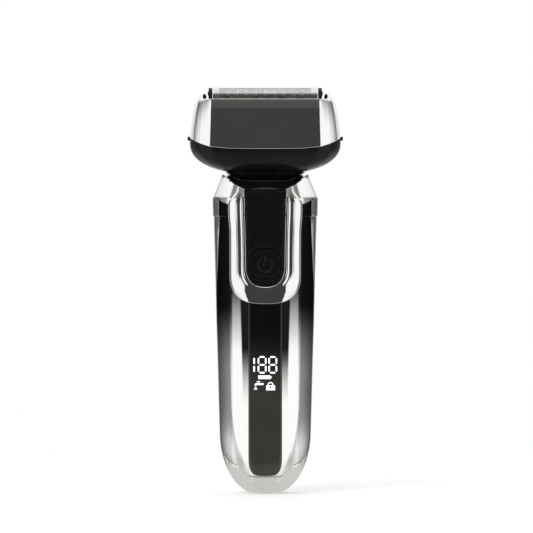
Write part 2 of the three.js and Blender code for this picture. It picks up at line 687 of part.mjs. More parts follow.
function handleAssembly() {
  const handle = new THREE.Group();
  handle.add(
    part('front_shell', frontShell(), DARK_CHROME),
    part('rear_shell', rearShell(), DARK_CHROME),
    part('collar', collar(), CHROME),
    part('front_panel', frontPanel(), MATTE_BLACK),
    part('display_lens', displayLens(), LENS_BLACK),
    part('bottom_cap', bottomCap(), CHROME),
    part('rear_grip', rearGrip(), RUBBER),
    part('trimmer_cover', trimmerCover(), SATIN_BLACK),
    part('power_button', powerButton(), MATTE_BLACK),
    part('neck_boot', neckBoot(), RUBBER),
    part('cap_seal', bodyLayer(-2.6, -3.8, [20.3, 21.5]), RUBBER),
    part('chassis', chassis(), PLASTIC_GREY),
    part('pivot_bracket', pivotBracket(), STEEL),
    part('charging_socket', chargingSocket(), STEEL),
    part('charge_board', block([-7, 7], [-4, PORT.depth - GAP], [7, 8]), BOARD_GREEN),
    part('main_board', mainBoard(), BOARD_GREEN),
    part('display_module', block([-5.2, 5.2], [-13, BOARD.front - GAP], [40, 59]), WHITE),
    part('tact_switch', block([-3, 3], [-12.4, BOARD.front - GAP], [89, 95]), STEEL),
    part('battery_cell', rod(CELL.radius, CELL.low, CELL.high, 0, CELL.y), CELL_WRAP),
    part('battery_contact_top', block([-4, 4], [-3.5, 4.5], [75, 75.6]), STEEL),
    part('battery_contact_bottom', block([-4, 4], [-3.5, 4.5], [23.4, 24]), STEEL),
    part('motor_can', motorCan(), STEEL),
    part('motor_bush', rod(3.1, 112.3, 113.6).subtract(rod(MOTOR.shaft + GAP, 100, 120)), BRASS),
  );
  for (const [where, z] of [['top', 106], ['bottom', 30]]) {
    const screw = new THREE.CylinderGeometry(1.6, 1.6, 1, 12);
    handle.add(placed(part(`board_screw_${where}`, screw, STEEL), 0, BOARD.front - 0.8, z));
  }
  for (const [where, side] of [['left', -1], ['right', 1]]) {
    const length = 4.6;
    const pin = new THREE.CylinderGeometry(PIVOT.pin, PIVOT.pin, length, 16).rotateZ(Math.PI / 2);
    const x = side * (PIVOT.earOut - length / 2);
    handle.add(placed(part(`pivot_pin_${where}`, pin, STEEL), x, 0, PIVOT.z));
  }
  return handle;
}

function rotorAssembly() {
  const rotor = new THREE.Group();
  const shaft = new THREE.CylinderGeometry(MOTOR.shaft, MOTOR.shaft, 19.5, 16).rotateX(Math.PI / 2);
  rotor.add(placed(part('motor_shaft', shaft, STEEL), 0, 0, 108.75));
  rotor.add(part('drive_cam', driveCam(), BRASS));
  return rotor;
}

function trimmerAssembly() {
  const trimmer = new THREE.Group();
  const { half, low, top, teeth, toothDepth } = TRIMMER;
  const carrierDepth = [BAY.floor + GAP, BAY.floor + 1.3];
  const comb = toothedPlate(half, BAY.coverTop + 0.4, top, teeth, toothDepth);
  const cutter = toothedPlate(half - 1.3, BAY.coverTop + 0.6, top - 0.6, teeth - 3, toothDepth);
  trimmer.add(
    part('trimmer_carrier', block([-half, half], carrierDepth, [low, 115]), MATTE_BLACK),
    part('trimmer_switch', trimmerSwitch(), SATIN_BLACK),
    part('trimmer_comb', prismY(comb, 16.3, 16.9), STEEL),
    part('trimmer_cutter', prismY(cutter, 15.5, 16), STEEL),
  );
  return trimmer;
}

function headAssembly() {
  const head = new THREE.Group();
  head.add(part('head_base', headBase(), SATIN_BLACK));
  head.add(part('head_deck', headDeck(), MATTE_BLACK));
  head.add(part('oscillator_bridge', oscillatorBridge(), WHITE));
  for (const [where, y] of [['front', -ROW], ['middle', 0], ['rear', ROW]]) {
    head.add(placed(part(`post_seal_${where}`, postSeal(), RUBBER), 0, y, DECK.high + GAP));
    head.add(placed(part(`blade_spring_${where}`, coilSpring(1, 0.25, 3, 3), STEEL), 0, y,
      (where === 'middle' ? POST.middleTop : POST.top) + GAP));
  }
  head.add(placed(part('blade_front', cutterBlade(), STEEL), 0, -ROW, 0));
  head.add(placed(part('blade_rear', cutterBlade(), STEEL), 0, ROW, 0));
  head.add(part('blade_middle', middleBlade(), STEEL));
  for (const [where, side] of [['left', -1], ['right', 1]]) {
    head.add(part(`release_button_${where}`, releaseButton(side), SATIN_BLACK));
    const spring = coilSpring(0.8, 0.2, 3.2, 3).rotateY((side * Math.PI) / 2);
    head.add(placed(part(`release_spring_${where}`, spring, STEEL), side * 21.6, 0, DECK.high + 1.4));
  }
  return head;
}

function cassetteAssembly() {
  const cassette = new THREE.Group();
  cassette.add(part('head_frame', headFrame(), CHROME));
  cassette.add(part('foil_frame', foilFrame(), MATTE_BLACK));
  for (const [where, y] of [['front', -ROW], ['rear', ROW]]) {
    const foil = arch(FOIL.radius, FOIL.sheet, FOIL.half, FOIL.foot, FOIL.top);
    cassette.add(placed(part(`foil_${where}`, foil, STEEL), 0, y, 0));
    const carrier = part(`foil_carrier_${where}`, foilCarrier(CARRIER.halfDepth), SATIN_BLACK);
    cassette.add(placed(carrier, 0, y, 0));
  }
  cassette.add(part('guard_middle', middleGuard(), STEEL));
  cassette.add(part('guard_carrier', foilCarrier(MIDDLE.halfDepth), SATIN_BLACK));
  return cassette;
}

const shaver = new THREE.Group();
shaver.add(handleAssembly(), rotorAssembly(), trimmerAssembly(), headAssembly(), cassetteAssembly());

export default shaver;
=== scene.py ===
import collections
import functools
import json
import math

import bmesh
import bpy
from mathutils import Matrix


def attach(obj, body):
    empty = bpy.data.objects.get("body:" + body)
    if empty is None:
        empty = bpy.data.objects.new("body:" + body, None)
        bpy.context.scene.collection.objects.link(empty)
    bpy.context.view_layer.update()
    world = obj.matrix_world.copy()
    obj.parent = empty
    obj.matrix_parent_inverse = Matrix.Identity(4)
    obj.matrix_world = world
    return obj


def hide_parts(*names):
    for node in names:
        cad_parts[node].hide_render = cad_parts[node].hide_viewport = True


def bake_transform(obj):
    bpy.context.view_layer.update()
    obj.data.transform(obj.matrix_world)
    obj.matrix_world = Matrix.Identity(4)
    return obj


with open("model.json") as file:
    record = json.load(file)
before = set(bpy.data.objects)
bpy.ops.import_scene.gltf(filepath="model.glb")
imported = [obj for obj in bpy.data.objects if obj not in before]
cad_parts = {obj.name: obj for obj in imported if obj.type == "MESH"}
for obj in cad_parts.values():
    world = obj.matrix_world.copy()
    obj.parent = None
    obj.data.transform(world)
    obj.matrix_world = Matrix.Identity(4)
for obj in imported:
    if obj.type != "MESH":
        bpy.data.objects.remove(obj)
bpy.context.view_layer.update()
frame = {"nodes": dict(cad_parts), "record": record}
NODES = frame["nodes"]

MM = 0.001


# ---------- small maths


def clamp(v, lo, hi):
    return max(lo, min(hi, v))


def ease(v, a, b):
    t = clamp((v - a) / (b - a), 0, 1)
    return t * t * (3 - 2 * t)


def curve(points, v):
    """A smooth line through points, read at v."""
    last = len(points) - 1
    i = 0
    while i < last - 1 and points[i + 1][0] < v:
        i += 1
    (xa, ya), (xb, yb) = points[i], points[i + 1]

    def slope(k):
        lo, hi = points[max(k - 1, 0)], points[min(k + 1, last)]
        return (hi[1] - lo[1]) / (hi[0] - lo[0])

    h = xb - xa
    t = clamp((v - xa) / h, 0, 1)
    return ((2 * t**3 - 3 * t**2 + 1) * ya + (t**3 - 2 * t**2 + t) * h * slope(i)
            + (3 * t**2 - 2 * t**3) * yb + (t**3 - t**2) * h * slope(i + 1))


def lerp(a, b, t):
    return a + (b - a) * t


def spaced(a, b, step):
    n = max(1, math.ceil(abs(b - a) / step))
    return [lerp(a, b, i / n) for i in range(n + 1)]


def bisect(rises, lo, hi):
    """Where a function that goes from below zero to above it crosses."""
    for _ in range(30):
        mid = (lo + hi) / 2
        if rises(mid) < 0:
            lo = mid
        else:
            hi = mid
    return (lo + hi) / 2


# ---------- meshes


def mesh_of(name, verts, faces):
    """A mesh from points in millimetres."""
    mesh = bpy.data.meshes.new(name)
    mesh.from_pydata([(x * MM, y * MM, z * MM) for x, y, z in verts], [], faces)
    return mesh


def placed(name, data):
    obj = bpy.data.objects.new(name, data)
    bpy.context.scene.collection.objects.link(obj)
    return obj


def piece(name, verts, faces, body, material, slot, replaces=(), sharp=38):
    """A piece that rides on a body, if it has one, and stands for CAD nodes."""
    mesh = mesh_of(name, verts, faces)
    work = bmesh.new()
    work.from_mesh(mesh)
    bmesh.ops.remove_doubles(work, verts=work.verts, dist=2e-6)
    bmesh.ops.dissolve_degenerate(work, edges=work.edges, dist=1e-6)
    work.to_mesh(mesh)
    work.free()
    obj = placed(name, mesh)
    mesh.materials.append(material)
    obj["sharp"] = sharp
    if body:
        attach(obj, body)
    if replaces:
        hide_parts(*replaces)
    return obj


def weave(rows, around=False):
    """Faces over rows of points that all have the same count."""
    n = len(rows[0])
    verts = [p for row in rows for p in row]
    faces = []
    for i in range(len(rows) - 1):
        for j in range(n if around else n - 1):
            k = (j + 1) % n
            faces.append([i * n + j, i * n + k, (i + 1) * n + k, (i + 1) * n + j])
    return verts, faces


def joined(*sheets):
    verts, faces = [], []
    for v, f in sheets:
        base = len(verts)
        verts += v
        faces += [[base + i for i in face] for face in f]
    return verts, faces


def both_sides(rows):
    """The sheet over rows on the right, and its mirror image."""
    verts, faces = weave(rows)
    return joined((verts, faces), ([(-x, y, z) for x, y, z in verts], [face[::-1] for face in faces]))


def outward(obj):
    """Turns the faces of an open sheet to look away from the upright axis."""
    mesh = obj.data
    total = 0.0
    for p in mesh.polygons:
        total += p.area * (p.normal.x * p.center.x + p.normal.y * p.center.y)
    if total < 0:
        mesh.flip_normals()
    return obj


def opened(obj, half, low):
    """Leaves out the front of a sheet within a half width, above a height. Millimetres."""
    work = bmesh.new()
    work.from_mesh(obj.data)
    inside = []
    for face in work.faces:
        x, y, z = face.calc_center_median() / MM
        if abs(x) < half and y < 0 and z > low:
            inside.append(face)
    bmesh.ops.delete(work, geom=inside, context="FACES")
    work.to_mesh(obj.data)
    work.free()


def walled(obj, thickness, offset=-1):
    """Gives a sheet its wall: -1 is inwards, 0 on both sides. Millimetres."""
    solid = obj.modifiers.new("wall", "SOLIDIFY")
    solid.thickness = thickness * MM
    solid.offset = offset


def soften(obj, width, segments=2):
    bevel = obj.modifiers.new("edge", "BEVEL")
    bevel.width = width * MM
    bevel.segments = segments
    bevel.limit_method = "ANGLE"
    bevel.angle_limit = math.radians(35)
    bevel.miter_outer = "MITER_ARC"


def thicken(obj, thickness, bevel):
    """A wall inwards with softened edges, for a sheet that looks outwards. Millimetres."""
    walled(outward(obj), thickness)
    soften(obj, bevel)


def settle():
    """Applies the modifiers of the new pieces and sets their shading."""
    deps = bpy.context.evaluated_depsgraph_get()
    made = [o for o in bpy.context.scene.objects if o.type == "MESH" and "sharp" in o]
    meshes = [bpy.data.meshes.new_from_object(o.evaluated_get(deps)) for o in made]
    for obj, mesh in zip(made, meshes):
        obj.modifiers.clear()
        obj.data = mesh
        mesh.shade_smooth()
        mesh.set_sharp_from_angle(angle=math.radians(obj["sharp"]))
        del obj["sharp"]


# ---------- sections


def section(corners, cut, bows=(0.006,)):
    """Right half of a section from front to back: straight stretches a little bowed, corners rounded."""
    arc, flat = 5, 3
    path = [(0, corners[0][1])] + corners + [(0, corners[-1][1])]
    points = [path[0]]

    def towards(a, b, length):
        d = math.dist(a, b)
        return (lerp(a[0], b[0], length / d), lerp(a[1], b[1], length / d))

    here = path[0]
    for i in range(1, len(path) - 1):
        corner, after = path[i], path[i + 1]
        begin = towards(corner, path[i - 1], cut)
        end = towards(corner, after, cut)
        length = math.dist(here, begin)
        nx, ny = (begin[1] - here[1]) / length, -(begin[0] - here[0]) / length
        for k in range(1, flat + 1):
            t = k / flat
            swell = bows[min(i - 1, len(bows) - 1)] * length * 4 * t * (1 - t)
            points.append((lerp(here[0], begin[0], t) + nx * swell, lerp(here[1], begin[1], t) + ny * swell))
        for k in range(1, arc + 1):
            t = k / arc
            a, b, c = (1 - t) ** 2, 2 * t * (1 - t), t * t
            points.append((a * begin[0] + b * corner[0] + c * end[0], a * begin[1] + b * corner[1] + c * end[1]))
        here = end
    points.append(path[-1])
    return points


class Outline:
    """A symmetric closed section, followed by a number from -1 to 1 with 0 in front."""

    def __init__(self, points, stations=None):
        self.points = points
        if stations:
            self.stations = stations
            return
        run = [0.0]
        for a, b in zip(points, points[1:]):
            run.append(run[-1] + math.dist(a, b))
        self.stations = [r / run[-1] for r in run]

    def at(self, s):
        side = -1 if s < 0 else 1
        s = min(abs(s), 1)
        i = 1
        while i < len(self.stations) - 1 and self.stations[i] < s:
            i += 1
        a, b = self.stations[i - 1], self.stations[i]
        t = 0 if b == a else (s - a) / (b - a)
        p, q = self.points[i - 1], self.points[i]
        return side * lerp(p[0], q[0], t), lerp(p[1], q[1], t)

    def columns(self):
        return [-s for s in reversed(self.stations[1:])] + self.stations

    def depth(self, x, back=False):
        """Depth of the front or the back at a width, both as fractions."""
        x = abs(x)
        points = self.points[::-1] if back else self.points
        for p, q in zip(points, points[1:]):
            if q[0] >= x and q[0] > p[0]:
                return lerp(p[1], q[1], (x - p[0]) / (q[0] - p[0]))
        return 0


# ---------- handle form

HANDLE = Outline(section([(0.36, -1), (0.7, -0.8), (1, -0.36), (1, 0.34), (0.74, 0.8), (0.38, 1)], 0.08,
                         (0.002, 0.005, 0.014, 0.006, 0.014, 0.005, 0.002)))
STEP, STEP_Z = 0.3, 110.8


@functools.cache
def narrowed(share):
    points = [(x * (1 - share * math.exp(-(((x - 0.7) / 0.17) ** 2))) if y < 0 else x, y)
              for x, y in HANDLE.points]
    return Outline(points, HANDLE.stations)


def handle_section(z):
    """The front band narrows as it runs down into the foot."""
    return narrowed(round(0.14 * ease(z, 36, 12), 3))


def rounded_in(z, start):
    drop = clamp((start - z) / (start + 1), 0, 1)
    return (1 - drop**2.2) ** (1 / 2.2)


def chamfered(v, a, b, soft=0.07):
    """From 0 at a to 1 at b in a straight line with soft ends."""
    t = (v - a) / (b - a)
    if t < soft:
        return max(t + soft, 0) ** 2 / (4 * soft)
    if t > 1 - soft:
        return 1 - max(1 + soft - t, 0) ** 2 / (4 * soft)
    return t


def body_size(z):
    """Half width and half depth of the handle."""
    step = STEP if z > STEP_Z else 0
    close = chamfered(z, 117.9, 126.6) * 3.9
    return (
        (17.7 + 0.026 * z) * rounded_in(z, 24) + step - close,
        (14.8 + 0.022 * z) * rounded_in(z, 15) + step - close,
    )


def body_at(s, z, off=0.0):
    w, d = body_size(z)
    x, y = handle_section(z).at(s)
    return x * (w + off), y * (d + off)


def front_y(x, z, off=0.0, level=False):
    """Depth of the front at a place. A level form leaves out the step near the top."""
    w, d = body_size(z)
    if level:
        shift = STEP * ease(z, 100, 118) - (STEP if z > STEP_Z else 0)
        w, d = w + shift, d + shift
    return handle_section(z).depth(x / (w + off)) * (d + off)


def back_y(x, z, off=0.0):
    w, d = body_size(z)
    return HANDLE.depth(x / (w + off), back=True) * (d + off)


def piecewise(points, v):
    if v <= points[0][0]:
        return points[0][1]
    for (a, p), (b, q) in zip(points, points[1:]):
        if v <= b:
            return lerp(p, q, (v - a) / (b - a))
    return points[-1][1]


# Parting line of the casing: depth by height. Seams and roof of the collar: height by width or depth.
PARTING = [(0, 0), (56, 0), (74, -5.6), (113, -9.6)]
FRONT_SEAM = [(6.1, 7), (9.3, 9.6), (10.7, 11.2), (14.5, 12.8), (17.3, 16.4)]
REAR_SEAM = 16.4
COLLAR_SEAM = [(16, 115.7), (21.5, 119)]
ROOF = [(0, 127.3), (4.8, 127.3), (9.6, 125.7), (16, 121.3), (25, 115.1)]
SEAM_GAP = 0.14
PARTING_GAP = 0.002


def foot_seam(x, y):
    return piecewise(FRONT_SEAM, abs(x)) if y < 0 else REAR_SEAM


def collar_seam(x, y):
    return piecewise(COLLAR_SEAM, abs(x))


def roof(x, y):
    return piecewise(ROOF, abs(y))


def parting_station(z):
    _, d = body_size(z)
    return bisect(lambda s: handle_section(z).at(s)[1] * d - piecewise(PARTING, z), 0.02, 0.98)


def width_station(z, x, lo, hi, sign):
    w, _ = body_size(z)
    return bisect(lambda s: sign * (handle_section(z).at(s)[0] * w - x), lo, hi)


def recess_station(z):
    """Where the back ends beside the trimmer."""
    return width_station(z, 9.1, 0.55, 1.0, -1)


def held(z, place, height, steps=24):
    """The point that place gives for a height, moved until its own place allows the height."""
    for _ in range(steps):
        last, z = z, height(*place(z))
        if abs(z - last) < 1e-5:
            break
    return (*place(z), z)


def wrapped(columns, levels, limits, low, high):
    """Rows of points on the handle, held between two stations and between two seams."""
    return [[held(level, lambda z: body_at(clamp(column, *limits(z)), z),
                  lambda x, y: clamp(level, low(x, y), high(x, y))) for column in columns]
            for level in levels]


FOOT = [0, 0.25, 0.6, 1.1, 1.8, 2.8, 4, 5.5, 7, 8.5, 10, 12, 14, 16, 18, 20, 22, 24, 27]
TALL = spaced(30, 110, 5) + [110.72, 110.88, 112, 114]
SHOULDER = spaced(115.5, 128, 0.6)


# ---------- node materials


class Nodes:
    """Short calls for building a node tree."""

    def __init__(self, tree):
        self.tree = tree

    def add(self, kind, values=(), **props):
        node = self.tree.nodes.new(kind)
        for key, value in props.items():
            setattr(node, key, value)
        for key, value in dict(values).items():
            if isinstance(value, bpy.types.NodeSocket):
                self.tree.links.new(value, node.inputs[key])
            else:
                node.inputs[key].default_value = value
        return node

    def math(self, operation, a, b=0.0):
        return self.add("ShaderNodeMath", {0: a, 1: b}, operation=operation).outputs[0]

    def ramp(self, value, a, b, to_a=0.0, to_b=1.0, smooth=True):
        kind = "SMOOTHSTEP" if smooth else "LINEAR"
        values = {"Value": value, "From Min": a, "From Max": b, "To Min": to_a, "To Max": to_b}
        return self.add("ShaderNodeMapRange", values, interpolation_type=kind).outputs[0]

    def mix(self, factor, a, b):
        return self.add("ShaderNodeMix", {0: factor, 6: a, 7: b}, data_type="RGBA").outputs[2]

    def times(self, colour, shade):
        return self.add("ShaderNodeVectorMath", {0: colour, 1: shade}, operation="MULTIPLY").outputs[0]

    def link(self, value, node, socket):
        self.tree.links.new(value, node.inputs[socket])

    def noise(self, where, scale, detail, rough=0.55):
        values = {"Vector": where, "Scale": scale, "Detail": detail, "Roughness": rough}
        return self.add("ShaderNodeTexNoise", values).outputs["Fac"]

    def uneven(self, value, where, scale, size):
        """A value with a slow wobble of a size."""
        wobble = self.math("MULTIPLY", self.math("SUBTRACT", self.noise(where, scale, 2), 0.5), size)
        return self.math("ADD", value, wobble)


def rgb(r, g=None, b=None):
    return (r, r if g is None else g, r if b is None else b, 1.0)


def begin(name, values=()):
    """A material with one shader and the object's own coordinates."""
    material = bpy.data.materials.new(name)
    material.use_nodes = True
    material.node_tree.nodes.clear()
    n = Nodes(material.node_tree)
    out = n.add("ShaderNodeOutputMaterial")
    shader = n.add("ShaderNodeBsdfPrincipled", values)
    n.link(shader.outputs[0], out, 0)
    where = n.add("ShaderNodeTexCoord").outputs["Object"]
    return material, n, shader, where


def finish_surface(n, shader, where, colour, rough, spread, grain, bump, depth, edge=None):
    """Colour with slow variation, roughness with smears, a fine relief, and edges that polish up."""
    slow = n.noise(where, 90, 2)
    fine = n.noise(where, grain, 4)
    shade = n.ramp(n.math("ADD", n.math("MULTIPLY", slow, 0.6), n.math("MULTIPLY", fine, 0.4)),
                   0.35, 0.65, 1 - spread, 1 + spread)
    colour = n.times(colour, shade)
    if edge:
        worn = n.ramp(n.add("ShaderNodeNewGeometry").outputs["Pointiness"], 0.52, 0.6, 0, edge[0])
        colour = n.mix(worn, colour, edge[1])
    n.link(colour, shader, "Base Color")
    smear = n.noise(where, 260, 5, 0.7)
    n.link(n.ramp(smear, 0.3, 0.7, rough[0], rough[1]), shader, "Roughness")
    relief = n.add("ShaderNodeBump", {"Strength": bump, "Distance": depth * MM, "Height": fine})
    n.link(relief.outputs[0], shader, "Normal")


def surface(name, colour, rough, metal, spread, grain, bump, depth, edge=None, specular=0.5):
    material, n, shader, where = begin(name, {"Metallic": metal, "Specular IOR Level": specular})
    finish_surface(n, shader, where, colour[:3], rough, spread, grain, bump, depth, edge)
    return material


def casing_surface():
    """Metal-coated casing: black above, bright below, with its own fade on each facet."""
    material, n, shader, where = begin("casing_fade", {"Metallic": 1.0})
    split = n.add("ShaderNodeSeparateXYZ", {0: where})
    x = n.math("MULTIPLY", n.math("ABSOLUTE", split.outputs[0]), 1000)
    z = n.math("MULTIPLY", split.outputs[2], 1000)
    zz = n.uneven(z, where, 60, 3)
    band = n.ramp(zz, 85, 55)
    side = n.ramp(zz, 76, 46, 0, 0.75)
    flank = n.ramp(zz, 59, 34)
    # The flank beside the lens is a little wider at the top.
    reach = n.ramp(z, 45, 76, 9.0, 9.9, smooth=False)
    in_flank = n.ramp(n.math("SUBTRACT", x, reach), 0.3, -0.3)
    in_side = n.ramp(x, 12.7, 13.6)
    amount = n.mix(in_flank, n.mix(in_side, band, side), flank)
    fade = n.mix(amount, rgb(0.012, 0.0112, 0.0105), rgb(0.98, 0.975, 0.965))
    middle = n.ramp(n.math("ABSOLUTE", n.math("SUBTRACT", zz, 70)), 4, 14, 0.16, 0)
    on_band = n.math("MULTIPLY", middle, n.math("SUBTRACT", 1.0, n.math("MAXIMUM", in_flank, in_side)))
    warm = n.mix(on_band, fade, rgb(0.4, 0.33, 0.35))
    finish_surface(n, shader, where, warm, (0.045, 0.085), 0.02, 3000, 0.02, 0.005)
    return material


def glow(name, colour, strength):
    """A lit mark made of fine dots."""
    material, n, shader, where = begin(
        name, {"Base Color": colour, "Roughness": 0.4, "Emission Strength": strength})
    dots = n.add("ShaderNodeTexVoronoi", {"Vector": where, "Scale": 3500.0}).outputs["Distance"]
    soft = n.ramp(dots, 0.0, 0.7, 1.0, 0.82)
    n.link(n.times(colour[:3], soft), shader, "Emission Color")
    return material


CASING = casing_surface()
CHROME = surface("bright_chrome", rgb(0.93, 0.925, 0.915), (0.04, 0.08), 1.0, 0.02, 3000, 0.03, 0.005)
REAR = surface("rear_satin_metal", rgb(0.62, 0.6, 0.61), (0.16, 0.24), 1.0, 0.03, 5000, 0.05, 0.004,
               (0.3, rgb(0.8)))
PANEL_BLACK = surface("panel_black", rgb(0.0036, 0.0036, 0.0038), (0.34, 0.44), 0, 0.12, 6500, 0.3, 0.01,
                      (0.25, rgb(0.02)), 0.14)
SATIN_BLACK = surface("satin_black", rgb(0.0055, 0.0055, 0.0058), (0.24, 0.34), 0, 0.12, 5500, 0.2, 0.008,
                      (0.25, rgb(0.04)), 0.2)
SOFT_BLACK = surface("soft_black", rgb(0.015, 0.015, 0.016), (0.5, 0.65), 0, 0.15, 4500, 0.4, 0.015,
                     (0.25, rgb(0.06)))
RUBBER = surface("rubber", rgb(0.014, 0.014, 0.0145), (0.6, 0.8), 0, 0.18, 3500, 0.5, 0.03,
                 (0.3, rgb(0.05)), 0.35)
GLOSS_RING = surface("gloss_black", rgb(0.006, 0.006, 0.0063), (0.05, 0.1), 0, 0.1, 2500, 0.03, 0.005)
STEEL = surface("spring_steel", rgb(0.56, 0.57, 0.58), (0.18, 0.32), 1.0, 0.08, 5000, 0.2, 0.006,
                (0.3, rgb(0.85)))
FOIL_STEEL = surface("foil_steel", rgb(0.8, 0.79, 0.77), (0.12, 0.26), 1.0, 0.08, 7000, 0.2, 0.005,
                     (0.2, rgb(0.95)))
BRASS = surface("brass", rgb(0.62, 0.44, 0.17), (0.2, 0.4), 1.0, 0.12, 3500, 0.2, 0.01, (0.3, rgb(0.8, 0.62, 0.3)))
INNER = surface("inner_plastic", rgb(0.07, 0.073, 0.078), (0.45, 0.6), 0, 0.1, 3500, 0.35, 0.02, (0.3, rgb(0.16)))
WHITE = surface("white_plastic", rgb(0.74, 0.74, 0.71), (0.35, 0.5), 0, 0.05, 3000, 0.25, 0.015, (0.2, rgb(0.9)))
CELL_WRAP = surface("cell_wrap", rgb(0.03, 0.14, 0.3), (0.25, 0.4), 0, 0.1, 1800, 0.2, 0.02,
                    (0.3, rgb(0.2, 0.4, 0.6)))
PRINT = surface("glossy_mark", rgb(0.016, 0.016, 0.0165), (0.1, 0.2), 0, 0.1, 5000, 0.05, 0.003)
LIT = glow("display_white", rgb(0.95, 0.97, 1.0), 1.0)
EMBER = glow("display_soft", rgb(0.85, 0.87, 0.9), 0.9)


def lens_surface():
    """Smoked window: clear black above, a lighter smoke below."""
    material, n, shader, where = begin(
        "lens_black", {"Coat Weight": 0.2, "Coat Roughness": 0.04, "Specular IOR Level": 0.35})
    z = n.math("MULTIPLY", n.add("ShaderNodeSeparateXYZ", {0: where}).outputs[2], 1000)
    zz = n.uneven(z, where, 80, 2)
    smoke = n.mix(n.ramp(zz, 66, 38), rgb(0.0035, 0.0035, 0.0034), rgb(0.042, 0.041, 0.036))
    finish_surface(n, shader, where, smoke, (0.04, 0.08), 0.03, 1500, 0.012, 0.003)
    return material


LENS_BLACK = lens_surface()


def board_surface():
    """Green lacquer over copper tracks, with bare pads."""
    material, n, shader, where = begin("circuit_board")
    cells = n.add("ShaderNodeTexVoronoi", {"Vector": where, "Scale": 450.0, "Randomness": 0.6},
                  distance="CHEBYCHEV")
    tracks = n.ramp(n.math("FRACT", n.math("MULTIPLY", cells.outputs["Distance"], 5)), 0.42, 0.5)
    green = n.mix(tracks, rgb(0.006, 0.05, 0.022), rgb(0.012, 0.105, 0.04))
    pads = n.ramp(cells.outputs["Distance"], 0.1, 0.08)
    finish_surface(n, shader, where, n.mix(pads, green, rgb(0.7, 0.55, 0.3)), (0.3, 0.45), 0.06, 4000, 0.3, 0.02)
    return material


BOARD = board_surface()

SLOT_MATERIAL = {
    "dark_chrome": CASING, "bright_chrome": CHROME, "satin_black": SATIN_BLACK, "soft_black": SOFT_BLACK,
    "lens": LENS_BLACK, "rubber": RUBBER, "steel": STEEL, "foil": FOIL_STEEL, "brass": BRASS,
    "inner_plastic": INNER, "white_plastic": WHITE, "board": BOARD, "cell_wrap": CELL_WRAP,
}
NODE_SLOT = {s["node"]: s.get("material_slot") for s in frame["record"]["subparts"]}
for node_name, node in NODES.items():
    finish = SLOT_MATERIAL.get(NODE_SLOT.get(node_name), INNER)
    if not node.material_slots:
        node.data.materials.append(finish)
    for material_slot in node.material_slots:
        material_slot.link = "OBJECT"
        material_slot.material = finish


# ---------- casing

columns = HANDLE.columns()
WALL, WALL_EDGE = 1.4, 0.14
COVER_TOP = 84


def front_limits(z):
    s = parting_station(z) - PARTING_GAP
    return -s, s


def rear_limits(z):
    """From the parting line to the middle, or above COVER_TOP to the trimmer's recess."""
    far = 1.0 if z <= COVER_TOP else recess_station(z)
    return parting_station(z) + PARTING_GAP, far


casing_levels = [z for z in FOOT if z >= 7] + TALL + [z for z in SHOULDER if z < 120]
front_rows = wrapped(columns, casing_levels, front_limits,
                     lambda x, y: foot_seam(x, -1) + SEAM_GAP, lambda x, y: collar_seam(x, y) - SEAM_GAP)
obj = piece("front_casing", *weave(front_rows), "handle", CASING, "dark_chrome", ["front_shell"])
# The trim and the inlay cover this opening, and the key moves in it.
opened(obj, 6.9, 84.5)
thicken(obj, WALL, WALL_EDGE)

rear_rows = wrapped(HANDLE.stations, sorted(casing_levels + [COVER_TOP - 0.01, COVER_TOP + 0.01]), rear_limits,
                    lambda x, y: REAR_SEAM + SEAM_GAP, lambda x, y: collar_seam(x, y) - SEAM_GAP)
obj = piece("rear_casing", *both_sides(rear_rows), "handle", REAR, "dark_chrome", ["rear_shell"])
thicken(obj, WALL, WALL_EDGE)


def cap_rows():
    """The foot cap, closed below, with a faint lip in front."""
    cap_columns = [lerp(a, b, k / 3) for a, b in zip(columns, columns[1:]) for k in range(3)]
    rows = []
    for level in sorted([z for z in FOOT if z <= 18] + [16.3] + spaced(4.5, 6.9, 0.15)):
        row = []
        for s in cap_columns:
            x, y, z = held(level, lambda z: body_at(s, z), lambda x, y: min(level, foot_seam(x, y) - SEAM_GAP))
            lip = 5.0 + 1.1 * (abs(x) / 7) ** 2
            proud = 0.07 * ease(z, lip, lip - 0.3) * ease(abs(x), 9, 6.5) if y < 0 else 0
            row.append((*body_at(s, z, proud * ease(z, 0.5, 2.5)), z))
        rows.append(row)
    base = rows[0]
    under = [[(x * k, y * k, 0.0) for x, y, _ in base] for k in (0.5, 0.9)]
    return [[(0.0, 0.0, 0.0)] * len(base)] + under + rows


def rounded_rectangle(half, low, high, radius, steps=6):
    points = []
    for cx, cz, turn in (
        (half - radius, high - radius, 0), (radius - half, high - radius, 90),
        (radius - half, low + radius, 180), (half - radius, low + radius, 270),
    ):
        for i in range(steps + 1):
            a = math.radians(turn + 90 * i / steps)
            points.append((cx + radius * math.cos(a), cz + radius * math.sin(a)))
    return points


def bar(outline, ends, point):
    """A closed bar between two copies of an outline; point makes a place from (u, v, end)."""
    n = len(outline)
    verts = [point(u, v, end) for end in ends for u, v in outline]
    faces = [[i, (i + 1) % n, n + (i + 1) % n, n + i] for i in range(n)]
    faces += [list(range(n))[::-1], list(range(n, 2 * n))]
    return verts, faces


obj = piece("foot_cap", *weave(cap_rows(), around=True), "handle", CHROME, "bright_chrome", ["bottom_cap"])
walled(outward(obj), WALL)
port = rounded_rectangle(4.8, 7.6, 11.4, 1.5)
cutter = placed("cutter", mesh_of("cutter", *bar(port, (8, 40), lambda x, z, y: (x, y, z))))
cut = obj.modifiers.new("port", "BOOLEAN")
cut.operation = "DIFFERENCE"
cut.solver = "EXACT"
cut.object = cutter
soften(obj, 0.12)


# ---------- collar and its U-shaped trim

Arch = collections.namedtuple("Arch", "half low spring power")
OUTER = Arch(14.3, 75.8, 88, 2.65)
INNER_ARCH = Arch(7.7, 82.9, 91, 2.3)


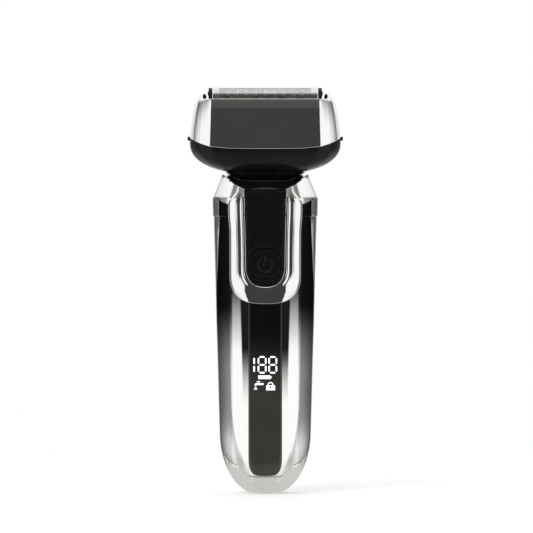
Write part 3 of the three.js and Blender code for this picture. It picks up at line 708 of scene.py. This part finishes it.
def arch_levels(arch):
    """Heights from the foot of an arch up to its spring, closer together below."""
    rise = arch.spring - arch.low
    return [arch.low + rise * (1 - math.cos(math.pi / 2 * i / 14)) for i in range(15)]


def across(half, n):
    """Places over a width, closer together at its ends."""
    return [half * math.sin(math.pi / 2 * lerp(-1, 1, i / n)) for i in range(n + 1)]


def quarter_turn(radius, *turns):
    """(inset, rise) round a quarter of a circle, or more of it."""
    return [(radius * (1 - math.cos(math.radians(t))), radius * math.sin(math.radians(t))) for t in turns]


def arch_half(arch, z):
    """Half width of an arch at a height."""
    if z >= arch.spring:
        return arch.half
    drop = clamp((arch.spring - z) / (arch.spring - arch.low), 0, 1)
    return arch.half * (1 - drop ** arch.power) ** (1 / arch.power)


def arch_low(arch, x):
    part = clamp(abs(x) / arch.half, 0, 1)
    return arch.spring - (arch.spring - arch.low) * (1 - part ** arch.power) ** (1 / arch.power)


def arch_point(arch, turn):
    aside = math.copysign(abs(math.cos(turn)) ** (2 / arch.power), math.cos(turn))
    down = math.sin(turn) ** (2 / arch.power)
    return arch.half * aside, arch.spring - (arch.spring - arch.low) * down


def outer_flare(z):
    """The outer edge widens too, and comes in again over the shoulder."""
    return 0.6 * ease(z, 104, 113) - 4.6 * clamp((z - 116.2) / 6, 0, 1)


def inner_flare(z):
    """The legs of the U widen upwards: its inner edge."""
    return 0.5 * ease(z, 92, 121)


TRIM_WIDTH = 6.6
# The trim's height over the casing, as slopes from its inner edge at 0 to its outer edge at 1:
# a bead, a groove, a long slope up to a broad swell, and a quick fall.
TRIM_SLOPES = [(0.04, 0.5), (0.12, 0.31), (0.16, 0.2), (0.2, 0.42), (0.28, 0.02), (0.34, 0.45), (0.46, 0.31),
               (0.6, 0.28), (0.7, 0.05), (0.8, -0.05), (0.88, -0.25), (0.94, -0.7), (1, -1.6)]


def trim_heights():
    heights, u = [(0, 0.02)], 0
    for end, slope in TRIM_SLOPES:
        heights.append((end, heights[-1][1] + (end - u) * TRIM_WIDTH * slope))
        u = end
    return heights


TRIM_HEIGHTS = trim_heights()


def trim_height(u, under):
    """Under the middle of the U the swell is flat, with a thin rim."""
    flat = 0.08 + 0.37 * ease(u, 0, 0.07) - 0.37 * ease(u, 0.955, 1)
    return lerp(piecewise(TRIM_HEIGHTS, u), flat, under)


def trim_rows():
    """Rows across the trim, down one leg of the U, round its foot and up the other."""
    leg = []
    for z in [124.5] + spaced(120.6, 92, 0.8):
        level = min(z, 121.2)
        leg.append(((INNER_ARCH.half + inner_flare(level), z), (OUTER.half + outer_flare(level), z)))
    foot = [(arch_point(INNER_ARCH, math.pi * i / 48), arch_point(OUTER, math.pi * i / 48)) for i in range(49)]
    other_leg = [((-a[0], a[1]), (-b[0], b[1])) for a, b in leg[::-1]]
    rows = []
    for inner, outer in leg + foot + other_leg:
        under = ease(abs(inner[0]), 7.2, 3.5) if inner[1] < 90 else 0
        row = []
        for i in range(51):
            u = i / 50
            x, level = lerp(inner[0], outer[0], u), lerp(inner[1], outer[1], u)
            *_, z = held(level, lambda z: (x, front_y(x, z, 0, True)),
                         lambda x, y: min(level, roof(x, y) - 0.05), 16 if level > 121 else 0)
            row.append((x, front_y(x, z, trim_height(u, under), True), z))
        rows.append(row)
    return rows


def shoulder_rows():
    """The right shoulder, rolled over its roof and down inside."""
    rows = wrapped(HANDLE.stations, SHOULDER, lambda z: (width_station(z, 8.2, 0.0, 0.4, 1), recess_station(z)),
                   lambda x, y: collar_seam(x, y) + SEAM_GAP, roof)
    rim = rows[-1]
    for drop, inset in ((0, -0.25), (0.12, -0.9), (0.45, -1.5), (1.2, -1.9), (4.0, -2.0)):
        row = []
        for x, y, z in rim:
            w, d = body_size(z)
            row.append((x * (w + inset) / w, y * (d + inset) / d, roof(x, y) - drop))
        rows.append(row)
    return rows


obj = piece("collar_shoulders", *both_sides(shoulder_rows()), "handle", CHROME, "bright_chrome", ["collar"])
thicken(obj, 0.8, 0.1)
thicken(piece("collar_trim", *weave(trim_rows()), "handle", CHROME, "bright_chrome", ["collar"]), 1.2, 0.1)


# ---------- front panel and button

KEY_HALF, KEY_LOW, KEY_HIGH, KEY_ROUND = 6.2, 85.9, 98.1, 4.5
KEY_GAP = 0.08
KEY_Z = (KEY_LOW + KEY_HIGH) / 2


def from_key(x, z):
    """Distance outside the key's outline, below zero within it."""
    qx = abs(x) - (KEY_HALF - KEY_ROUND)
    qz = abs(z - KEY_Z) - ((KEY_HIGH - KEY_LOW) / 2 - KEY_ROUND)
    return math.hypot(max(qx, 0), max(qz, 0)) + min(max(qx, qz), 0) - KEY_ROUND


def below_key(z):
    return clamp((KEY_Z - z) / 6, 0, 1) ** 2


def panel_offset(x, z):
    """A groove round the key, wider below it, and deep under the key itself."""
    width = 0.4 + 0.7 * below_key(z)
    inside = from_key(x, z)
    return 0.3 - 0.8 * (1 - ease(inside, 0.02, width)) - 0.9 * ease(-inside, 0.5, 1.6)


def panel_rows():
    rows = []
    for z in arch_levels(INNER_ARCH) + spaced(91.4, 99.4, 0.25) + spaced(100, 119.4, 0.7):
        half = max(arch_half(INNER_ARCH, z) + inner_flare(z) - 0.1, 0)
        rows.append([(x, front_y(x, z, panel_offset(x, z), True), z) for x in across(half, 40)])
    top = rows[-1]
    for back, rise in quarter_turn(2.2, 15, 30, 45, 60, 75, 90):
        rows.append([(x, y + back, z + rise) for x, y, z in top])
    rows.append([(x, y + 2.6, z - 0.2) for x, y, z in rows[-1]])
    return rows


obj = piece("front_inlay", *weave(panel_rows()), "handle", PANEL_BLACK, "soft_black", ["front_panel"])
thicken(obj, 0.7, 0.08)


def pad(outline, rings, surface_y, centre):
    """A raised pad: rings are (share of the outline's size, offset from the casing), outside first."""
    rows = []
    for share, off in rings:
        row = []
        for x, z in outline:
            px, pz = centre[0] + (x - centre[0]) * share, centre[1] + (z - centre[1]) * share
            row.append((px, surface_y(px, pz, off), pz))
        rows.append(row)
    return weave(rows, around=True)


key = rounded_rectangle(KEY_HALF - KEY_GAP, KEY_LOW + KEY_GAP, KEY_HIGH - KEY_GAP, KEY_ROUND - KEY_GAP, 10)
rings = [(1, -1.2), (1, 0.0), (0.995, 0.13), (0.98, 0.24), (0.95, 0.3), (0.91, 0.31), (0.86, 0.3), (0.8, 0.28),
         (0.6, 0.18), (0.45, 0.11), (0.3, 0.06), (0.15, 0.03), (0.001, 0.02)]


def key_body(x, z, off):
    """The key's lower edge rolls away further than its sides."""
    return front_y(x, z, off - 0.5 * below_key(z) * ease(from_key(x, z), -1.7, 0))


outward(piece("power_key", *pad(key, rings, key_body, (0, KEY_Z)), "power_button", PANEL_BLACK, "soft_black",
              ["power_button"]))


def ribbon(centre_line, width, off, surface_y=front_y):
    """A flat printed line on the front, of a width, along (x, z) points."""
    rows = []
    for i, (x, z) in enumerate(centre_line):
        a = centre_line[max(i - 1, 0)]
        b = centre_line[min(i + 1, len(centre_line) - 1)]
        length = math.dist(a, b)
        nx, nz = -(b[1] - a[1]) / length, (b[0] - a[0]) / length
        row = []
        for side in (-1, 1):
            px, pz = x + side * nx * width / 2, z + side * nz * width / 2
            row.append((px, surface_y(px, pz, off), pz))
        rows.append(row)
    return weave(rows)


def circle_line(cx, cz, radius, start, end, steps=28):
    line = []
    for i in range(steps + 1):
        a = math.radians(lerp(start, end, i / steps))
        line.append((cx + radius * math.cos(a), cz + radius * math.sin(a)))
    return line


def key_face(x, z, off):
    """The dished face that carries the symbol."""
    share = max(abs(x) / KEY_HALF, abs(z - KEY_Z) / 6.1)
    dish = 0.02 + 0.3 * ease(share, 0.1, 0.9)
    return front_y(x, z, dish + off)


outward(piece("power_symbol", *joined(
    ribbon(circle_line(0, 91.5, 2.85, 122, 418), 0.62, 0.03, key_face),
    ribbon([(0, 92.2), (0, 93), (0, 94), (0, 95.3)], 0.62, 0.03, key_face),
), "power_button", PRINT, "white_plastic"))


# ---------- lens and display

LENS_ARCH = Arch(6.7, 7.3, 17, 3.6)


def lens_rows():
    rows = []
    for level in arch_levels(LENS_ARCH) + spaced(18.5, 72, 3) + spaced(73, 77, 0.5):
        half = arch_half(LENS_ARCH, level)
        row = []
        for x in across(half, 24):
            z = min(level, arch_low(OUTER, x) - 0.12)
            edge = ease(half - abs(x), 0, 0.45) if level > 9 else 1
            row.append((x, front_y(x, z, 0.08 + 0.12 * edge), z))
        rows.append(row)
    return rows


thicken(piece("display_strip", *weave(lens_rows()), "handle", LENS_BLACK, "lens", ["display_lens"]), 0.9, 0.1)

MARK_HEIGHT = 0.235


def stroke(x0, z0, x1, z1, width):
    """A bar with pointed ends."""
    length = math.dist((x0, z0), (x1, z1))
    dx, dz = (x1 - x0) / length, (z1 - z0) / length
    nx, nz = -dz * width / 2, dx * width / 2
    ex, ez = dx * width / 2, dz * width / 2
    points = [(x0, z0), (x0 + ex + nx, z0 + ez + nz), (x1 - ex + nx, z1 - ez + nz),
              (x1, z1), (x1 - ex - nx, z1 - ez - nz), (x0 + ex - nx, z0 + ez - nz)]
    return [(x, front_y(x, z, MARK_HEIGHT), z) for x, z in points], [[0, 1, 2, 3, 4, 5]]


def digit(left, right, low, high, shown):
    """Seven segments, named a to g from the top round to the middle."""
    mid = (low + high) / 2
    width, gap = 0.62, 0.33
    x0, x1 = left + width / 2, right - width / 2
    z0, z1 = low + width / 2, high - width / 2
    bars = {
        "a": (x0, z1, x1, z1), "b": (x1, mid, x1, z1), "c": (x1, z0, x1, mid), "d": (x0, z0, x1, z0),
        "e": (x0, z0, x0, mid), "f": (x0, mid, x0, z1), "g": (x0, mid, x1, mid),
    }
    out = []
    for name in shown:
        ax, az, bx, bz = bars[name]
        if ax == bx:
            out.append(stroke(ax, az + gap, bx, bz - gap, width))
        else:
            out.append(stroke(ax + gap, az, bx - gap, bz, width))
    return out


lit = [*digit(-7.6, -4.1, 48.2, 55.2, "bc"), *digit(-3.0, 0.5, 48.3, 55.2, "abcdefg"),
       *digit(1.25, 4.75, 48.3, 55.2, "abcdefg")]
outward(piece("display_digits", *joined(*lit), "handle", LIT, "white_plastic"))


def line(a, b, width):
    middle = (lerp(a[0], b[0], 0.5), lerp(a[1], b[1], 0.5))
    return ribbon([a, middle, b], width, MARK_HEIGHT)


battery = [line((-2.8, 46.8), (2.0, 46.8), 1.45), line((1.9, 46.8), (2.5, 46.8), 0.8)]
tap = [line((-3.6, 44.1), (-0.7, 44.1), 0.75), line((-2.7, 44.4), (-2.7, 45.0), 0.35),
       line((-3.4, 45.1), (-2.0, 45.1), 0.32),
       ribbon(circle_line(-3.3, 43.5, 0.62, 90, 180, 6), 0.7, MARK_HEIGHT),
       line((-3.9, 43.0), (-4.5, 41.8), 0.22), line((-3.85, 43.0), (-3.85, 41.8), 0.22),
       line((-3.8, 43.0), (-3.2, 41.8), 0.22)]
lock = [line((0.4, 42.6), (1.8, 42.6), 2.0), line((2.4, 42.6), (3.9, 42.6), 2.0),
        line((1.7, 42.05), (2.5, 42.05), 0.9), line((1.7, 43.4), (2.5, 43.4), 0.4),
        ribbon(circle_line(2.12, 43.7, 1.0, 0, 180, 12), 0.42, MARK_HEIGHT)]
outward(piece("display_icons", *joined(*battery, *tap, *lock), "handle", EMBER, "white_plastic"))


# ---------- rear grip, neck boot


def grip_rows():
    """A pad with round corners and cross ribs that fade out near its edge."""
    rows = []
    low, high, radius, half = 26, 76, 7, 9
    for z in spaced(low, high, 0.32):
        near = min(z - low, high - z)
        cut = 0 if near >= radius else radius - math.sqrt(max(radius**2 - (radius - near) ** 2, 0))
        reach = half - cut
        wave = max(0, math.cos(2 * math.pi * (z - low) / 3.2)) ** 0.7
        row = []
        for x in across(reach, 24):
            inside = ease(min(reach - abs(x), near), 0.9, 1.9)
            row.append((x, back_y(x, z, 0.12 + 0.42 * wave * inside), z))
        rows.append(row)
    return rows


thicken(piece("grip_pad", *weave(grip_rows()), "handle", RUBBER, "rubber", ["rear_grip"]), 0.9, 0.1)


def drawn_in(row, inset, drop):
    """A row of points moved towards the upright axis and down."""
    return [(x * (1 - inset / math.hypot(x, y)), y * (1 - inset / math.hypot(x, y)), z - drop)
            for x, y, z in row]


def boot_rows():
    """A soft ring inside the collar that leans in towards the neck, with a rounded lip."""
    inside, lip_x, lip_y, lip_round = -2.0, 14.9, 10.6, 0.4
    foot, lip = [], []
    for s in columns[:-1]:
        z = roof(*body_at(s, 121, inside)) - 1.1
        x, y = body_at(s, z, inside)
        foot.append((x, min(y, 13.2) if abs(x) < 9.6 else y, z))
        reach = math.hypot(x / lip_x, y / lip_y)
        lip.append((x / reach, y / reach, 124.9 + 2.0 * ease(abs(x / reach), 7.5, 15.5)))
    rows = [[(x, y, z - 4) for x, y, z in foot]]
    for t in (0, 0.06, 0.3, 0.6, 0.9):
        swell = 0.5 * math.sin(math.pi * t)
        row = []
        for (ax, ay, az), (bx, by, bz) in zip(foot, lip):
            out = 1 + swell / math.hypot(ax, ay)
            row.append((lerp(ax, bx, t) * out, lerp(ay, by, t) * out, lerp(az, bz, t)))
        rows.append(row)
    for back, rise in quarter_turn(lip_round, 0, 30, 60, 90, 120, 150, 180):
        rows.append(drawn_in(lip, back - lip_round, -rise))
    rows.append([(x * 0.99, y * 0.99, z - 3) for x, y, z in rows[-1]])
    return rows


gaiter = piece("neck_gaiter", *weave(boot_rows(), around=True), None, GLOSS_RING, "rubber", ["neck_boot"])
thicken(gaiter, 0.6, 0.05)


# ---------- head


def full_ring(front_corners, cut, *bows):
    """A closed ring from the corners of its front right quarter."""
    half = section(front_corners + [(x, -y) for x, y in front_corners[::-1]], cut, *bows)
    return half + [(-x, y) for x, y in half[1:-1]][::-1]


HEAD_HALF = 30.1
NECK_TOP = 128.3


def bowl_size(z):
    """Half width and half depth: a neck, and a bowl above it."""
    if z < NECK_TOP:
        t = min(1, (NECK_TOP - z) / 3.7)
        return 16 - 6.4 * t, 10 - 2.8 * t
    drop = clamp((140.2 - z) / 12.9, 0, 1)
    return HEAD_HALF * (1 - drop**2.35) ** (1 / 2.35), 17.2 * (1 - drop**2.8) ** (1 / 2.8)


@functools.cache
def bowl_ring(z):
    w, d = bowl_size(z)
    return full_ring([(0.74 * w, -d), (0.896 * w, -0.8 * d), (w, -0.42 * d)], 0.06 * w)


def rim_line(x):
    """Height of the line between the bowl and the cassette."""
    return 137.5 + 4.2 * (abs(x) / HEAD_HALF) ** 5


def bowl_rows():
    levels = [121.5, 123, 124.6, 124.9, 125.4, 126, 126.7, 127.4, 128, 128.28, 128.4, 128.7]
    levels += spaced(129, 142.2, 0.55)
    rows = [[held(level, lambda z: bowl_ring(z)[i], lambda x, y: min(level, rim_line(x) - 0.12), 3)
             for i in range(len(bowl_ring(130)))] for level in levels]
    edge = rows[-1]
    for kx, ky, rise in ((0.99, 0.985, 0.05), (0.965, 0.94, 0.06), (0.96, 0.935, 1.6)):
        rows.append([(x * kx, y * ky, z + rise) for x, y, z in edge])
    return rows


obj = piece("head_bowl", *weave(bowl_rows(), around=True), "head", SATIN_BLACK, "satin_black", ["head_base"])
thicken(obj, 1.2, 0.12)

# Height, half width, half depth, and half width of the flat front.
CASSETTE = [
    (137, HEAD_HALF, 17.2, 22.3), (141.7, HEAD_HALF, 16.9, 22.2), (148.6, 29.4, 16.4, 22.0),
    (153.8, 28.5, 15.95, 21.9), (156.9, 27.6, 15.45, 21.8), (158.6, 26.3, 15.0, 21.7), (160.4, 24.9, 14.7, 21.6),
]


def cassette_size(z):
    width, depth, flat = [[(row[0], row[k]) for row in CASSETTE] for k in (1, 2, 3)]
    return curve(width, z), piecewise(depth, z), curve(flat, z)


@functools.cache
def cassette_ring(z):
    w, d, flat = cassette_size(z)
    span = w - flat
    corners = [(flat, -d), (flat + 0.5 * span, -0.8 * d), (flat + 0.8 * span, -0.66 * d), (w, -0.34 * d)]
    return full_ring(corners, 0.45, (0.001, 0.006, 0.02, 0.01, 0.004, 0.01, 0.02, 0.006, 0.001))


def frame_top(y):
    """The shell's upper edge stands higher between the foils."""
    return 157.5 + 2.3 * (1 - ease(abs(y), 8.5, 12))


def cassette_rows():
    rows = [[held(level, lambda z: cassette_ring(z)[i],
                  lambda x, y: clamp(level, rim_line(x) + 0.38, frame_top(y)), 3)
             for i in range(len(cassette_ring(140)))] for level in [137.3] + spaced(137.7, 160, 0.45)]
    # A small round along the lower edge.
    foot = rows[0]
    for inset, drop in quarter_turn(0.22, 30, 60, 90):
        rows.insert(0, drawn_in(foot, inset, drop))
    edge = rows[-1]
    for inset, drop in ((0.18, -0.1), (0.5, -0.06), (0.9, 0.1), (1.3, 0.5), (1.5, 1.2), (1.5, 8)):
        rows.append([(x * (1 - inset / math.hypot(x, y)), y * (1 - inset / abs(y)) if abs(y) > 4 else y * 0.97,
                      z - drop) for x, y, z in edge])
    return rows


thicken(piece("cassette_shell", *weave(cassette_rows(), around=True), "cassette", CHROME, "bright_chrome",
              ["head_frame"]), 0.5, 0.06)


# ---------- foils


FOIL_Y, FOIL_RADIUS, FOIL_TOP = 6.9, 3.7, 162.0
GUARD_RADIUS, GUARD_TOP = 2.2, 161.4
# The plain border lies this much over the perforated part.
OVER = 0.02


def foil_point(along, x, radius=FOIL_RADIUS, top=FOIL_TOP, y=0.0):
    """A point on a half-round foil. along is measured over the arch in mm from its crown."""
    quarter = radius * math.pi / 2
    if abs(along) <= quarter:
        a = along / radius
        return x, y + radius * math.sin(a), top - radius + radius * math.cos(a)
    side = math.copysign(1, along)
    return x, y + side * radius, top - radius - (abs(along) - quarter)


def foil_mesh(y):
    """A perforated sheet: six-sided holes in the middle and a plain border."""
    pitch, hole = 0.62, 0.66
    row_pitch = pitch * math.sqrt(3) / 2
    size = pitch / math.sqrt(3)
    rows, count = int(6.2 / row_pitch), int(18.4 / pitch)
    verts, faces = [], []
    for r in range(-rows, rows + 1):
        for c in range(-count, count + 1):
            cx, ca = c * pitch + (pitch / 2 if r % 2 else 0), r * row_pitch
            base = len(verts)
            for k in range(6):
                t = math.radians(60 * k + 30)
                verts += [foil_point(ca + part * math.sin(t), cx + part * math.cos(t), y=y)
                          for part in (size, size * hole)]
                near, far = base + 2 * k, base + 2 * ((k + 1) % 6)
                faces.append([near, far, far + 1, near + 1])

    def plain(a_values, x_values):
        return weave([[foil_point(a, x, FOIL_RADIUS + OVER, FOIL_TOP + OVER, y) for x in x_values]
                      for a in a_values])

    crown, border, end = 6.05, 18.2, 20.9
    leg = [crown, FOIL_RADIUS * math.pi / 2 + 8]
    sides = (-1, 1)
    over = [-v for v in leg[::-1]] + spaced(-crown, crown, 0.45)[1:-1] + leg
    ends = [plain(over, sorted((side * border, side * end))) for side in sides]
    legs = [plain([side * v for v in leg], spaced(-border, border, 4)) for side in sides]
    return joined((verts, faces), *ends, *legs)


for where, y in (("front", -FOIL_Y), ("rear", FOIL_Y)):
    obj = piece(f"foil_sheet_{where}", *foil_mesh(y), f"foil_{where}", FOIL_STEEL, "foil", [f"foil_{where}"], 60)
    walled(obj, 0.08, 0)


def arch_plate(half_depth, y, ends, low, top):
    """An end plate with a round top."""
    outline = [(y + half_depth, low)]
    for i in range(15):
        a = math.pi * i / 14
        outline.append((y + half_depth * math.cos(a), top - half_depth + half_depth * math.sin(a)))
    outline.append((y - half_depth, low))
    return bar(outline, ends, lambda y, z, x: (x, y, z))


def box_mesh(x, y, z):
    verts = [(a, b, c) for a in x for b in y for c in z]
    faces = [[0, 1, 3, 2], [4, 6, 7, 5], [0, 4, 5, 1], [2, 3, 7, 6], [0, 2, 6, 4], [1, 5, 7, 3]]
    return verts, faces


def carrier(half_depth, y):
    """Two end plates with an outward nub each, joined by two rails."""
    parts = []
    for side in (-1, 1):
        parts.append(arch_plate(half_depth, y, sorted((side * 21.2, side * 22.6)), 148, FOIL_TOP))
        nub = sorted((side * 22.5, side * 22.95))
        parts.append(box_mesh(nub, (y - 1.1, y + 1.1), (158.9, 160.6)))
        rail = sorted((side * half_depth, side * (half_depth - 0.6)))
        parts.append(box_mesh((-21.6, 21.6), [y + v for v in rail], (148, 150)))
    return joined(*parts)


for name, body, y, half_depth, node in (
    ("foil_cradle_front", "foil_front", -FOIL_Y, 3.9, "foil_carrier_front"),
    ("foil_cradle_rear", "foil_rear", FOIL_Y, 3.9, "foil_carrier_rear"),
    ("guard_cradle", "guard_middle", 0, 2.6, "guard_carrier"),
):
    obj = piece(name, *carrier(half_depth, y), body, SATIN_BLACK, "satin_black", [node], 32)
    soften(obj, 0.14)


def guard_mesh():
    """The middle guard: a narrow arch with a comb of cross slots."""
    end, quarter = 20.9, GUARD_RADIUS * math.pi / 2
    over = [-quarter - 8] + spaced(-quarter, quarter, 0.5) + [quarter + 8]
    bars = []
    xs = spaced(-end, end, 1.6)
    for a, b in zip(xs, xs[1:]):
        mid, w = (a + b) / 2, (b - a) * 0.27
        bars.append(weave([[foil_point(v, x, GUARD_RADIUS, GUARD_TOP) for x in (mid - w, mid + w)]
                           for v in over]))
    for side in (-1, 1):
        rail = [side * v for v in spaced(2.6, 3.45, 0.3) + [11.4]]
        bars.append(weave([[foil_point(v, x, GUARD_RADIUS + OVER, GUARD_TOP + OVER) for x in spaced(-end, end, 3)]
                           for v in rail]))
    return joined(*bars)


walled(piece("guard_comb", *guard_mesh(), "guard_middle", FOIL_STEEL, "foil", ["guard_middle"], 60), 0.25)

# The CAD nodes that show get soft edges.
for cad in ("release_button_left", "release_button_right", "trimmer_cover", "trimmer_switch", "foil_frame",
            "trimmer_carrier", "head_deck"):
    soften(NODES[cad], 0.25, 3)


# ---------- studio

settle()
bpy.data.objects.remove(cutter)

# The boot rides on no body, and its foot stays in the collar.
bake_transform(gaiter)


def build_world():
    """Soft boxes at the sides of the camera, a dark camera side and a pale surround."""
    world = bpy.data.worlds.new("studio")
    bpy.context.scene.world = world
    world.use_nodes = True
    n = Nodes(world.node_tree)
    world.node_tree.nodes.clear()
    out = n.add("ShaderNodeOutputWorld")
    where = n.add("ShaderNodeTexCoord").outputs["Generated"]
    split = n.add("ShaderNodeSeparateXYZ", {0: where})
    x = n.math("ABSOLUTE", split.outputs[0])
    y = n.math("MULTIPLY", split.outputs[1], -1)
    z = split.outputs[2]
    turn = n.math("MULTIPLY", n.math("ARCTAN2", x, y), 180 / math.pi)
    stops = [(0, 0.05), (17, 0.045), (22, 1), (84, 1), (95, 0.42), (101, 0.26), (108, 0.12), (126, 0.11),
             (140, 0.45), (152, 0.9), (180, 0.97)]
    ramp = n.add("ShaderNodeValToRGB", {"Fac": n.math("DIVIDE", turn, 180)})

    def fill(band, levels):
        while len(band.elements) < len(levels):
            band.elements.new(0.5)
        for element, (angle, value) in zip(band.elements, levels):
            element.position = angle / 180
            element.color = (value, value * 0.985, value * 0.96, 1) if value < 0.9 else (value, value, value, 1)

    fill(ramp.color_ramp, stops)
    aside = n.ramp(turn, 70, 105, 0, 0.33)
    high = n.ramp(n.math("ADD", z, aside), 0.6, 0.82)
    low = n.ramp(z, -0.2, -0.5)
    lifted = n.add("ShaderNodeVectorMath", {0: ramp.outputs[0], 1: (0.045, 0.044, 0.04)}, operation="ADD")
    rising = n.mix(n.ramp(z, 0.17, 0.4), ramp.outputs[0], lifted.outputs[0])
    below = n.add("ShaderNodeValToRGB", {"Fac": n.math("DIVIDE", turn, 180)})
    fill(below.color_ramp, [(0, 0.56), (12, 0.58), (26, 0.86), (60, 0.88), (95, 0.64), (180, 0.6)])
    # Between the side boxes and the ceiling there is a darker strip.
    off_side = n.math("ABSOLUTE", n.math("SUBTRACT", turn, 45))
    strip = n.math("MULTIPLY", n.ramp(z, 0.3, 0.45), n.ramp(off_side, 42, 25))
    gap = n.mix(n.math("MULTIPLY", strip, n.ramp(z, 0.95, 0.86)), n.mix(high, rising, rgb(1.0)),
                rgb(0.24, 0.238, 0.23))
    under = n.mix(n.ramp(z, -0.72, -0.92), below.outputs[0], rgb(0.6, 0.595, 0.585))
    level = n.mix(low, gap, under)
    camera_ray = n.add("ShaderNodeLightPath").outputs["Is Camera Ray"]
    seen = n.mix(camera_ray, level, rgb(1.0))
    background = n.add("ShaderNodeBackground", {"Color": seen, "Strength": 1.0})
    n.link(background.outputs[0], out, 0)


build_world()


def build_floor():
    """A pale disc just under the object."""
    turns = [2 * math.pi * i / 64 for i in range(64)]
    rings = [[(radius * math.cos(a), radius * math.sin(a), -0.02) for a in turns]
             for radius in (0, 30, 60, 120, 240, 420)]
    mesh = mesh_of("floor", *weave(rings, around=True))
    mesh.validate()
    floor = placed("floor", mesh)
    material, n, shader, where = begin(
        "floor_paper", {"Emission Strength": 0.3, "Roughness": 0.9, "Specular IOR Level": 0.1})
    grain = n.noise(where, 400, 4)
    tone = n.mix(grain, rgb(0.86, 0.86, 0.85), rgb(0.9, 0.9, 0.9))
    n.link(tone, shader, "Base Color")
    n.link(tone, shader, "Emission Color")
    mesh.materials.append(material)
    floor.visible_glossy = False


build_floor()

DISTANCE = 3.0
FRAME_WIDTH = 0.2132
AIM = (0.0005, 0.0, 0.0906)
ELEVATION = 1.0
camera_data = bpy.data.cameras.new("camera")
camera_data.sensor_width = 36
camera_data.lens = 36 * DISTANCE / FRAME_WIDTH
camera_data.clip_end = 50
camera = placed("camera", camera_data)
tilt = math.radians(ELEVATION)
camera.location = (AIM[0], -DISTANCE * math.cos(tilt), AIM[2] + DISTANCE * math.sin(tilt))
camera.rotation_euler = (math.pi / 2 - tilt, 0, 0)
bpy.context.scene.camera = camera
bpy.context.scene.view_settings.view_transform = "Standard"

key_data = bpy.data.lights.new("key", "AREA")
key_data.shape = "DISK"
key_data.size = 1.2
key_data.energy = 14
key_light = placed("key", key_data)
key_light.location = (-0.7, -1.3, 1.5)
key_light.rotation_euler = (math.radians(45), 0, math.radians(-28))
key_light.visible_glossy = False
